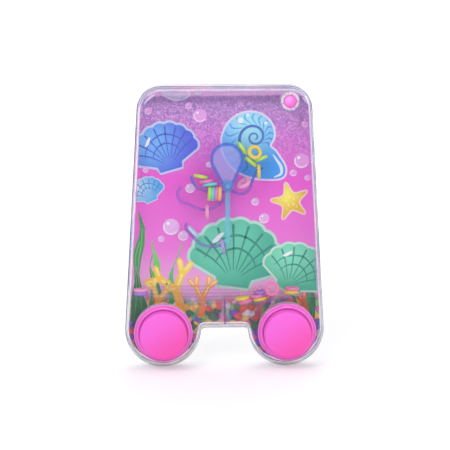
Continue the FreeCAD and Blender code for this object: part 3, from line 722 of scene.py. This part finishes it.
# %% [markdown]
# The catch wheel and the fixed hooks are see-through violet and blue plastic, so they
# take the colour of what is behind them. Each face of the plastic lets most light by
# and filters it, and a small share of body colour stands for the haze in it. The rim of
# the petal is three times as thick as its web, so it is a deeper blue. The narrow side
# walls are deeper too, partly because the eye looks through more plastic there and
# partly as painted shade: a face gets deeper as it turns away from the front.

# %% See-through wheel and hooks
hub_x, hub_z = 1.4, 92.5
wheel_middle = 2.05


def tinted_plastic(name):
    """An empty finish, with the way from the hub, the hub itself and the side walls, which take painted
    shade.
    """
    g = Graph(name)
    across, up = g.x - hub_x * mm, g.z - hub_z * mm
    near_hub = g.level(g.length(across, up), 3.0 * mm, 2.4 * mm)
    # Side walls: deeper where a face turns away from the front, partly longer path, partly painted shade.
    side = g.level(abs(g.facing_y), 0.94, 0.62)
    return g, across, up, near_hub, side


def see_through(g, passing, tone, haze, roughness=0.12):
    """Joins the parts: passing light, haze of the body colour, and gloss."""
    hazy = g.hazy(haze, passing, tone, roughness)
    return g.surface(g.mix(outer_gloss(g, wetted_ior), hazy, g.gloss(roughness)))


def wheel_finish():
    """Violet arms, a deep blue rim, a lavender web and a sky blue hub."""
    g, across, up, near_hub, side = tinted_plastic("violet_wheel")
    thick = g.level(abs(g.y - wheel_middle * mm), 0.28 * mm, 0.5 * mm)
    petal = g.level(up, -1.0 * mm, 1.5 * mm)
    cloud = g.noise(180.0)
    rim_tone = g.blend(cloud, (44, 96, 218), (70, 140, 232))
    arm_tone = g.blend(cloud, (168, 120, 228), (204, 160, 240))
    web_tone = g.blend(cloud, (190, 200, 255), (206, 206, 252))
    tone = g.blend(thick, web_tone, g.blend(petal, arm_tone, rim_tone))
    tone = g.blend(near_hub, tone, (88, 164, 226))
    # Side walls deeper and hazier: longer path through the plastic and painted shade.
    tone = g.blend(side * (0.8 - near_hub), tone, (60, 92, 206))
    passing = g.blend(petal, (0.72, 0.72, 0.98, 1), (0.62, 0.74, 0.99, 1))
    passing = g.blend(thick, (0.84, 0.88, 1.0, 1), passing)
    haze = near_hub * 0.3 + 0.14
    haze = haze + (thick * 0.08 + 0.15) * petal
    haze = haze + side * 0.3
    return see_through(g, passing, tone, haze)


def tree_finish():
    """A blue stem and violet hooks."""
    g, across, up, near_hub, side = tinted_plastic("violet_tree")
    stem = g.level(abs(across), 1.8 * mm, 1.2 * mm)
    cloud = g.noise(220.0, 3.0)
    arm_tone = g.blend(cloud, (176, 128, 232), (208, 164, 240))
    stem_tone = g.blend(cloud, (90, 206, 240), (170, 240, 250))
    tone = g.blend(stem, arm_tone, stem_tone)
    tone = g.blend(near_hub, tone, (84, 154, 220))
    # Side walls deeper and hazier: longer path through the plastic and painted shade.
    tone = g.blend(side * 0.85, tone, g.blend(stem, (96, 52, 184), (30, 112, 200)))
    passing = g.blend(stem, (0.82, 0.76, 0.99, 1), (0.66, 0.92, 0.99, 1))
    haze = stem * 0.18 + 0.16
    haze = haze + side * 0.4
    return see_through(g, passing, tone, haze)


dress(wheel_finish(), "catch_wheel")
dress(tree_finish(), "hook_tree")
dress(soft_rubber("blue_pin", (84, 160, 228), (70, 140, 218), 0.2), "hub_pin")
print("the wheel turns about x =", hub_x, "and z =", hub_z, "mm")

# %% [markdown]
# The toss rings are small glossy mouldings in candy colours. A candy-coloured ring that
# is 1.6 mm thick glows a little where light comes through it, so each colour is a
# glossy body with a share of light that passes into it.

# %% Ring colours
ring_colours = {
    "orange": ((246, 206, 118), "arm_orange"),
    "pink": ((250, 130, 192), "arm_pink cup_pink heap_pink pile_pink stack_pink upright_pink"),
    "rose": ((250, 172, 212), "cup_rose floor_rose hook_pale"),
    "cyan": ((104, 222, 232), "arm_cyan cup_cyan"),
    "lime": ((200, 240, 72), "arm_green cup_lime petal_green perch_green perch_lime"),
    "yellow": ((240, 216, 78), "perch_yellow tip_yellow heap_yellow pile_yellow stack_yellow"),
    "purple": ((176, 128, 232), "floor_purple pile_purple"),
    "pale": ((196, 228, 242), "hook_white"),
    "lilac": ((192, 162, 236), "hook_lilac"),
}
lighter_by = 14
glow_share = 0.2


def ring_finish(name, tone):
    """Glossy candy-coloured plastic."""
    g = Graph("ring_" + name)
    light = [min(255, part + lighter_by) for part in tone]
    mixed = g.blend(g.noise(400.0), tone, light)
    body = g.body(mixed, 0.3, Normal=g.bump(g.noise(2200.0), 0.05, 0.1 * mm))
    return g.surface(g.mix(glow_share, body, g.add("BsdfTranslucent", Color=mixed)))


ring_count = 0
for name, (tone, members) in ring_colours.items():
    rings = ["ring_" + member for member in members.split()]
    dress(ring_finish(name, tone), *rings)
    ring_count += len(rings)
print("rings with a finish:", ring_count)

# %% [markdown]
# The picture card is a glossy print on a white board. The board is a thinner copy of the
# CAD card, and the freed 0.3 mm in front of it holds the printed shapes, one thin layer
# over another, as inks lie on a real card. The board's own print is the sea behind the
# shapes: pink in the middle, violet with glitter at the top, and a soft reef of mixed
# colours at the bottom. Glitter is a pattern of small cells, each with its own brightness.
# A soft dark band just below the top edge is painted shadow, where the roof of the tank
# shades the card.

# %% The card's board and its sea
board_thickness = 0.2 * mm
sea_height = 150 * mm
sea_tones = ((0.0, (120, 70, 130)), (0.2, (206, 150, 190)), (0.3, (242, 184, 230)), (0.42, (242, 122, 222)),
             (0.66, (240, 84, 216)), (0.8, (212, 110, 212)), (0.9, (176, 128, 200)), (1.0, (166, 118, 192)))
reef_tones = ((0.0, (46, 124, 86)), (0.16, (244, 82, 62)), (0.28, (134, 204, 92)), (0.42, (255, 208, 88)),
              (0.54, (124, 74, 214)), (0.66, (244, 232, 240)), (0.74, (240, 104, 178)),
              (0.84, (44, 84, 98)), (0.92, (62, 184, 160)))


def warped(g, scale, reach):
    """The point, pushed about by soft noise, which bends straight cells into curls."""
    push = g.add("TexNoise", Vector=g.point, Scale=scale, Detail=2.0).outputs["Color"]
    centred = g.add("VectorMath", i0=push, i1=(0.5, 0.5, 0.5))
    centred.operation = "SUBTRACT"
    pushed = g.add("VectorMath", i0=centred, i3=2 * reach)
    pushed.operation = "SCALE"
    return g.add("VectorMath", i0=g.point, i1=pushed)


def card_finish():
    """Pink sea with violet glitter at the top, a painted shadow under the roof of the tank, and a mottled
    reef at the bottom.
    """
    g = Graph("card_sea")
    drift = g.noise(26.0, 3.0)
    height = g.z + drift * (9 * mm)
    tone = g.ramp(g.math("DIVIDE", height, sea_height), sea_tones)

    cells = g.add("TexVoronoi", Vector=g.point, Scale=1750.0).outputs["Color"]
    flake = g.add("SeparateColor", Color=cells).outputs[0]
    glitter_zone = g.level(height, 96 * mm, 132 * mm)
    tone = g.blend(g.level(flake, 0.55, 0.95) * glitter_zone * 0.8, tone, (238, 178, 236))
    tone = g.blend(g.level(flake, 0.3, 0.0) * glitter_zone * 0.85, tone, (118, 92, 190))

    top = g.z + drift * (1.2 * mm)
    # Painted shadow: a soft dark band where the roof of the tank shades the card.
    roof_shadow_band = g.level(top, 131.5 * mm, 135.4 * mm) * g.level(top, 137.4 * mm, 136.2 * mm)
    tone = g.blend(roof_shadow_band * 0.5, tone, (112, 66, 140))
    tone = g.blend(g.level(top, 136.6 * mm, 137.6 * mm) * 0.75, tone, (232, 180, 224))

    stones = g.add("TexVoronoi", Vector=warped(g, 160.0, 1.6 * mm), Scale=330.0, Randomness=1.0).outputs
    pick = g.add("SeparateColor", Color=stones["Color"]).outputs[0]
    crack = g.level(stones["Distance"], 0.25, 0.75)
    reef = g.blend(crack * 0.4, g.ramp(pick, reef_tones, "CONSTANT"), (46, 40, 66))
    tone = g.blend(g.level(height, 41 * mm, 34 * mm) * 0.95, tone, reef)

    board = g.blend(g.noise(700.0, 4.0), (232, 230, 228), (246, 245, 243))
    return g.surface(g.body(g.blend(g.level(g.facing_y, 0.2, 0.6), tone, board), 0.42))


board_mesh = nodes["picture_card"].data.copy()
board_front = card_back - board_thickness
for vertex in board_mesh.vertices:
    share = (vertex.co.y - card_front) / (card_back - card_front)
    vertex.co.y = board_front + share * board_thickness
board_mesh.materials.clear()
board_mesh.materials.append(card_finish())
card_board = in_scene("card_board", board_mesh)
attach(card_board, "tank")
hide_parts("picture_card")
print("card from y =", round(card_front / mm, 2), "to", round(card_back / mm, 2), "mm,",
      "board", round(board_thickness / mm, 2), "mm")

# %% [markdown]
# The printed shapes are flat outlines. Few points and a smooth closed curve through them
# give the round, friendly forms of a toy's print. Each shape is one face, and a print is
# a mesh of several such faces on one layer. Its ink is lighter towards one point, which
# makes the flat print look round. Outlines that follow each other on one layer get a
# tiny step in depth, so that inks that overlap don't lie in one plane.

# %% Printing flat shapes
layers_used = []
layer_gap = 0.02 * mm
steps_in_layer = 5
card_sides = ((1.0, 0.0604, 48.9), (-1.0, 0.0604, 48.9), (0.0, 1.0, 139.8))


def within_card(outline):
    """Cuts an outline at the slanted sides and the top of the card: a x + b z < c."""
    for a, b, c in card_sides:
        kept = []
        for (x0, z0), (x1, z1) in zip(outline, outline[1:] + outline[:1]):
            over0, over1 = a * x0 + b * z0 - c, a * x1 + b * z1 - c
            if over0 <= 0:
                kept.append((x0, z0))
            if (over0 > 0) != (over1 > 0):
                share = over0 / (over0 - over1)
                kept.append((x0 + share * (x1 - x0), z0 + share * (z1 - z0)))
        outline = kept
    return outline


def on_curve(a, b, c, d, t):
    """The point at share t between b and c on a smooth curve through a, b, c and d."""
    return tuple(0.5 * (2 * b[n] + (c[n] - a[n]) * t
                        + (2 * a[n] - 5 * b[n] + 4 * c[n] - d[n]) * t * t
                        + (3 * b[n] - a[n] - 3 * c[n] + d[n]) * t ** 3) for n in range(2))


def smooth_outline(points, steps=6):
    """A closed smooth curve through a few (x, z) points."""
    count = len(points)
    return [on_curve(*(points[(i + k - 1) % count] for k in range(4)), step / steps)
            for i in range(count) for step in range(steps)]


def ink(name, light_tone, deep_tone, centre, reach):
    """Printing ink that is light near one point and deeper further away."""
    g = Graph("ink_" + name)
    away = g.level(g.away_from(centre[0] * mm, centre[1] * mm), 0.0, reach * mm)
    soft = away + (g.noise(1300.0) - 0.5) * 0.16
    return g.surface(g.body(g.blend(soft, light_tone, deep_tone), 0.4))


def print_shapes(name, outlines, finish, layer):
    """Flat printed faces on one layer in front of the board."""
    build = bmesh.new()
    for order, outline in enumerate(outlines):
        step = (order % steps_in_layer) * layer_gap / (steps_in_layer + 1)
        y = board_front - ((layer + 1) * layer_gap + step)
        corners = [build.verts.new((x * mm, y, z * mm)) for x, z in within_card(outline)]
        if len(corners) < 3:
            continue
        face = build.faces.new(corners)
        face.normal_update()
        if face.normal.y > 0:
            face.normal_flip()
    bmesh.ops.triangulate(build, faces=build.faces[:])
    on_tank(name, build, finish)
    layers_used.append(layer)


def turned_points(points, centre, angle, size=1.0):
    """Points turned by an angle in degrees, scaled, and moved to a centre."""
    c, s = cos(radians(angle)), sin(radians(angle))
    return [(centre[0] + size * (x * c - z * s), centre[1] + size * (x * s + z * c)) for x, z in points]


def round_dot(x, z, radius, corners=20):
    """A round dot."""
    return [round_from(x, z, 2 * pi * i / corners, radius) for i in range(corners)]


def band(path, widths, steps=5):
    """A ribbon of changing width along a smooth open path, with a round far end."""
    line = []
    last = len(path) - 1
    for i in range(last):
        around = [path[min(max(i + k - 1, 0), last)] for k in range(4)]
        for step in range(steps + (i == last - 1)):
            t = step / steps
            line.append((*on_curve(*around, t), widths[i] + (widths[i + 1] - widths[i]) * t))
    left, right = [], []
    for i, (x, z, width) in enumerate(line):
        before, after = line[max(i - 1, 0)], line[min(i + 1, len(line) - 1)]
        dx, dz = after[0] - before[0], after[1] - before[1]
        half = width / 2 / (hypot(dx, dz) or 1.0)
        left.append((x - dz * half, z + dx * half))
        right.append((x + dz * half, z - dx * half))
    x, z, width = line[-1]
    heading = atan2(z - line[-2][1], x - line[-2][0])
    tip = [round_from(x, z, heading + pi / 2 - pi * k / 6, width / 2) for k in range(1, 6)]
    return left + tip + right[::-1]


def grown(outline, by):
    """The pale border round a print."""
    return [moved_out(outline, by, fair=False)]


print("a dot has", len(round_dot(0, 0, 1)), "corners")

# %% [markdown]
# The largest print is a coiled sea shell in sky blue. Its outline is a spiral that grows
# by the same share with each turn, as real shells do, closed across its mouth. Curved
# ribs run from the coil to the outer edge, and a white lip and a few light spots finish
# it. A pale border lifts it off the pink.

# %% Coiled shell print
shell_centre = (15.0, 115.5)
shell_turn = 262
shell_light = (12, 122)


def spiral_point(angle, size, growth=0.16):
    """A point of a growing spiral; the angle is in turns."""
    return round_from(0, 0, angle * 2 * pi + 0.5, size * exp(growth * angle * 2 * pi))


def on_shell(points):
    """Points of the shell's own drawing, at their place on the card."""
    return turned_points(points, shell_centre, shell_turn)


outer = [spiral_point(t / 36, 7.9) for t in range(37)]
mouth = [(19.2, 14.2), (16.6, 17.6), (12.4, 17.0), (8.4, 13.8), (5.4, 11.0)]
shell_outline = smooth_outline(on_shell(outer[4::3] + mouth), 4)
lip_path = [(18.6, 12.6), (16.4, 15.8), (12.9, 15.2), (9.8, 12.6), (7.4, 10.4)]
lip = on_shell(band(lip_path, [0.5, 1.4, 1.6, 1.2, 0.4]))
coil = [spiral_point(t / 14, 1.2, 0.17) for t in range(26)]
coil_line = on_shell(band(coil, [0.7 + 0.03 * i for i in range(len(coil))]))
ribs = []
for k in range(3, 35, 2):
    rib = [spiral_point((k + ahead) / 36, size) for ahead, size in ((0, 4.2), (1.6, 6.2), (1, 7.5))]
    ribs.append(on_shell(band(rib, [0.25, 0.8, 0.5])))
spots = [round_dot(8, 124.0, 1.5), round_dot(11.6, 126.6, 0.8), round_dot(20.6, 122.6, 0.9)]
border = grown(shell_outline, 1.0)
for part, shapes, ink_name, light_tone, deep_tone, light, reach, layer in (
        ("border", border, "border", (226, 236, 252), (236, 214, 244), shell_centre, 24, 2),
        ("body", [shell_outline], "shell_blue", (170, 238, 255), (24, 158, 250), shell_light, 24, 3),
        ("ribs", ribs, "shell_rib", (84, 182, 244), (22, 100, 212), shell_light, 24, 4),
        ("coil", [coil_line], "shell_coil", (60, 130, 214), (36, 84, 182), shell_centre, 14, 5),
        ("lip", [lip], "shell_lip", (250, 250, 255), (226, 238, 252), shell_centre, 20, 5),
        ("spots", spots, "shell_spot", (250, 253, 255), (236, 246, 255), (12, 126), 8, 5)):
    print_shapes("print_shell_" + part, shapes, ink(ink_name, light_tone, deep_tone, light, reach), layer)
across = [x for x, z in shell_outline]
print("shell print is", round(max(across) - min(across), 1), "mm wide")

# %% [markdown]
# Fan shells repeat one form in several colours and sizes: ribs that spread from the
# hinge, with a wavy edge. One function draws the outline and the lines between the ribs,
# and each shell gets its own place, turn, size and pair of tones.

# %% Fan shell prints
fan_spread = 82
edge_steps = 6
ears = [(0.34, -0.1), (0.3, -0.26), (-0.3, -0.26), (-0.34, -0.1)]
glint = [(-0.5, 0.55), (-0.38, 0.72), (-0.3, 0.74), (-0.4, 0.56)]


def fan_point(share, reach):
    """A point of the fan: share 0 is its left side and 1 its right side."""
    return round_from(0, 0, radians(90 + fan_spread - 2 * fan_spread * share), reach)


def fan_shell(name, centre, angle, size, light_tone, deep_tone, line_tone, border, layer, ribs_across=9):
    """A fan shell with a wavy edge, lines between its ribs and two small ears."""
    def drawn(points):
        return turned_points(points, centre, angle, size)

    edge = []
    for i in range(ribs_across * edge_steps + 1):
        share = i / (ribs_across * edge_steps)
        wave = 0.045 * abs(sin(pi * ribs_across * share))
        edge.append(fan_point(share, 1.0 - 0.16 * abs(2 * share - 1) ** 2 + wave))
    outline = drawn(edge + ears)
    lines = []
    for k in range(1, ribs_across):
        far = 0.93 - 0.14 * abs(2 * k / ribs_across - 1) ** 2
        foot, middle, end = (fan_point(k / ribs_across, reach) for reach in (0.16, 0.55 * far, far))
        path = [(foot[0], foot[1] - 0.1), middle, end]
        lines.append(drawn(band(path, [0.012, 0.03, 0.05])))
    for reach in (0.5, 0.76):
        path = [round_from(0, 0, radians(90 - 70 * side), reach * (0.97 - 0.13 * abs(side)))
                for side in (-1, -0.66, -0.33, 0, 0.33, 0.66, 1)]
        lines.append(drawn(band(path, [0.015, 0.03, 0.04, 0.045, 0.04, 0.03, 0.015])))
    light = drawn([(-0.35, 0.62)])[0]
    border_far, line_far = ([part - 16 for part in tone] for tone in (border, line_tone))
    for part, shapes, ink_name, near_tone, far_tone, reach in (
            ("_border", grown(outline, 0.06 * size), "_border", border, border_far, size * 1.4),
            ("_body", [outline], "_body", light_tone, deep_tone, size * 1.25),
            ("_lines", lines, "_line", line_tone, line_far, size),
            ("_glint", [drawn(smooth_outline(glint))], "_glint", (252, 255, 255), (236, 250, 252), size)):
        print_shapes(name + part, shapes, ink(name + ink_name, near_tone, far_tone, light, reach), layer)
        layer += 1


fan_shell("print_fan_violet", (-27.5, 104.0), 16, 18.5,
          (112, 190, 252), (66, 84, 224), (72, 96, 220), (206, 224, 250), 2)
fan_shell("print_fan_teal", (5.0, 46.5), -8, 26.5,
          (112, 226, 188), (40, 176, 148), (34, 158, 138), (196, 240, 224), 4)
fan_shell("print_fan_green", (33.5, 42.0), -26, 19.0,
          (132, 232, 196), (50, 188, 150), (42, 166, 140), (206, 244, 228), 8, 8)
fan_shell("print_fan_sky", (-37.0, 86.0), 24, 9.5,
          (186, 234, 252), (56, 166, 238), (50, 134, 226), (222, 236, 252), 2, 8)
print("layers in use:", sorted(set(layers_used)))

# %% [markdown]
# A yellow sea star, kelp and branching corals fill the sides and the foot of the card.
# The star is a smooth curve through ten points. Kelp blades are ribbons that sway and
# thin out towards the tip, with a lighter line up the middle. The corals branch twice,
# and each branch is a ribbon with a round end.

# %% Sea star, kelp and corals
star_centre, star_turn = (33.0, 83.0), 14
star_reaches = (9.6, 4.4)
card_foot = 22


def star_point(turn, reach):
    """A point at an angle in degrees from the top and at a distance from the middle."""
    return (reach * sin(radians(turn)), reach * cos(radians(turn)))


star_points = [star_point(36 * k, star_reaches[k % 2]) for k in range(10)]
star = smooth_outline(turned_points(star_points, star_centre, star_turn), 7)
dots = []
for k in range(5):
    for reach in (2.2, 4.3, 6.3):
        spot = turned_points([star_point(72 * k, reach)], star_centre, star_turn)[0]
        dots.append(round_dot(*spot, 0.62 - 0.06 * reach))
star_border = ink("star_border", (250, 236, 190), (246, 214, 226), star_centre, 12)
star_body = ink("star_body", (255, 244, 96), (232, 186, 34), (31, 86), 11)
star_dot = ink("star_dot", (255, 250, 190), (250, 226, 120), star_centre, 9)
print_shapes("print_star_border", grown(star, 0.7), star_border, 3)
print_shapes("print_star_body", [star], star_body, 4)
print_shapes("print_star_dots", dots, star_dot, 5)

kelp_blades = (  # foot x, top z, lean, width, bright
    (-45.5, 70, 3.5, 5.0, False), (-41.5, 78, -1.5, 4.6, False), (-37.0, 64, 3.0, 4.4, True),
    (-32.5, 56, -3.5, 3.6, False), (-28.0, 62, 4.5, 3.2, True), (45.0, 60, -3.0, 4.4, False),
    (41.0, 50, 2.0, 3.6, True), (36.5, 45, -2.5, 3.2, False))
kelp_dark, kelp_bright, kelp_veins = [], [], []
for i, (foot_x, top_z, lean, wide, bright) in enumerate(kelp_blades):
    path, widths = [], []
    for k in range(8):
        share = k / 7
        sway = 2.2 * sin(share * 7.5 + i * 1.7)
        path.append((foot_x + lean * share + sway * share, card_foot + (top_z - card_foot) * share))
        widths.append(wide * (0.75 + 0.5 * sin(share * 9 + i)) * (1 - 0.75 * share ** 2))
    (kelp_bright if bright else kelp_dark).append(band(path, widths))
    kelp_veins.append(band(path[:-1], [0.35] * 7))
dark_green = ink("kelp_dark", (64, 168, 92), (22, 112, 72), (-40, 62), 44)
bright_green = ink("kelp_bright", (110, 222, 104), (24, 156, 84), (-34, 60), 40)
pale_green = ink("kelp_vein", (148, 214, 140), (60, 150, 104), (-38, 60), 40)
print_shapes("print_kelp_dark", kelp_dark, dark_green, 1)
print_shapes("print_kelp_bright", kelp_bright, bright_green, 2)
print_shapes("print_kelp_veins", kelp_veins, pale_green, 3)


def ahead(x, z, angle, length):
    """The point that lies a length ahead, at an angle in degrees from straight up."""
    return (x + length * sin(radians(angle)), z + length * cos(radians(angle)))


def branching(x, z, angle, length, width, depth, found):
    """Ribbons of a coral that branches again and again."""
    end_angle = angle + random.uniform(-14, 14)
    middle = ahead(x, z, angle, 0.5 * length)
    end = ahead(*middle, end_angle, 0.5 * length)
    found.append(band([(x, z), middle, end], [width, width * 0.92, width * 0.86]))
    if depth:
        for turn in (-30, 26):
            way = end_angle + turn + random.uniform(-8, 8)
            branching(*end, way, length * 0.72, width * 0.84, depth - 1, found)


def coral(name, x, z, angle, length, width, light_tone, deep_tone, layer):
    """One coral that branches twice, with a lighter line on each branch."""
    found = []
    branching(x, z, angle, length, width, 2, found)
    print_shapes(name, found, ink(name, light_tone, deep_tone, (x, z + length * 2.6), length * 3.2), layer)
    lights = []
    for ribbon in found[1:]:
        top = ribbon[len(ribbon) // 2]
        base = [(first + last) / 2 for first, last in zip(ribbon[0], ribbon[-1])]
        path = [tuple(b * (1 - share) + t * share for b, t in zip(base, top)) for share in (0.25, 0.8)]
        lights.append(band(path, [width * 0.16, width * 0.22]))
    light_ink = ink(name + "_light", (255, 244, 190), light_tone, (x, z + length * 3), length * 4)
    print_shapes(name + "_light", lights, light_ink, layer + 1)


random.seed(4)
coral("print_coral_yellow", -21.5, 25, -8, 13.0, 4.6, (255, 236, 70), (250, 156, 40), 5)
coral("print_coral_orange", -12.0, 24, 12, 9.5, 3.4, (255, 196, 84), (232, 96, 48), 7)
coral("print_coral_gold", -34.5, 24, 6, 9.0, 3.4, (255, 228, 72), (244, 134, 40), 6)
coral("print_coral_rose", 17.0, 24, 10, 7.0, 2.6, (252, 150, 196), (206, 60, 124), 11)
coral("print_coral_red", 42.0, 24, -14, 8.0, 3.2, (250, 126, 84), (214, 54, 46), 6)
print("layers in use:", sorted(set(layers_used)))

# %% [markdown]
# Bubbles rise all over the print. Each is a pale disc with a white rim towards one side
# and a small bright spot.

# %% Bubble prints
bubbles = (  # x, z, radius
    (-12, 126.5, 3.4), (-17.5, 131.5, 1.7), (-26.5, 70.5, 4.2), (-20.5, 66, 2.6), (-31.5, 64.5, 1.6),
    (-17, 90, 2.4), (38.5, 103.5, 3.8), (34.5, 97.5, 1.8), (41.5, 95, 1.5), (15.5, 83, 2.0),
    (-37.5, 129, 1.8), (40, 122, 1.6), (-7.5, 102, 1.5), (20, 74.5, 2.6), (-39, 99.5, 1.5))
rims = []
for x, z, r in bubbles:
    arc = [round_from(x, z, radians(turn), 0.86 * r) for turn in range(150, 331, 20)]
    rims.append(band(arc, [0.06 * r] + [0.2 * r] * (len(arc) - 2) + [0.06 * r], 3))
discs = [round_dot(x, z, r, 28) for x, z, r in bubbles]
spots = [round_dot(x - 0.36 * r, z + 0.42 * r, 0.2 * r, 14) for x, z, r in bubbles]
disc_ink = ink("bubble", (238, 196, 244), (232, 160, 232), (-10, 80), 60)
rim_ink = ink("bubble_rim", (252, 240, 255), (246, 220, 250), (0, 80), 60)
spot_ink = ink("bubble_spot", (255, 255, 255), (252, 246, 255), (0, 80), 60)
print_shapes("print_bubble_discs", discs, disc_ink, 3)
print_shapes("print_bubble_rims", rims, rim_ink, 4)
print_shapes("print_bubble_spots", spots, spot_ink, 5)
front_of_print = board_front - (max(layers_used) + 2) * layer_gap
print("bubbles:", len(bubbles), " front layer at", round(front_of_print / mm, 3), "mm")
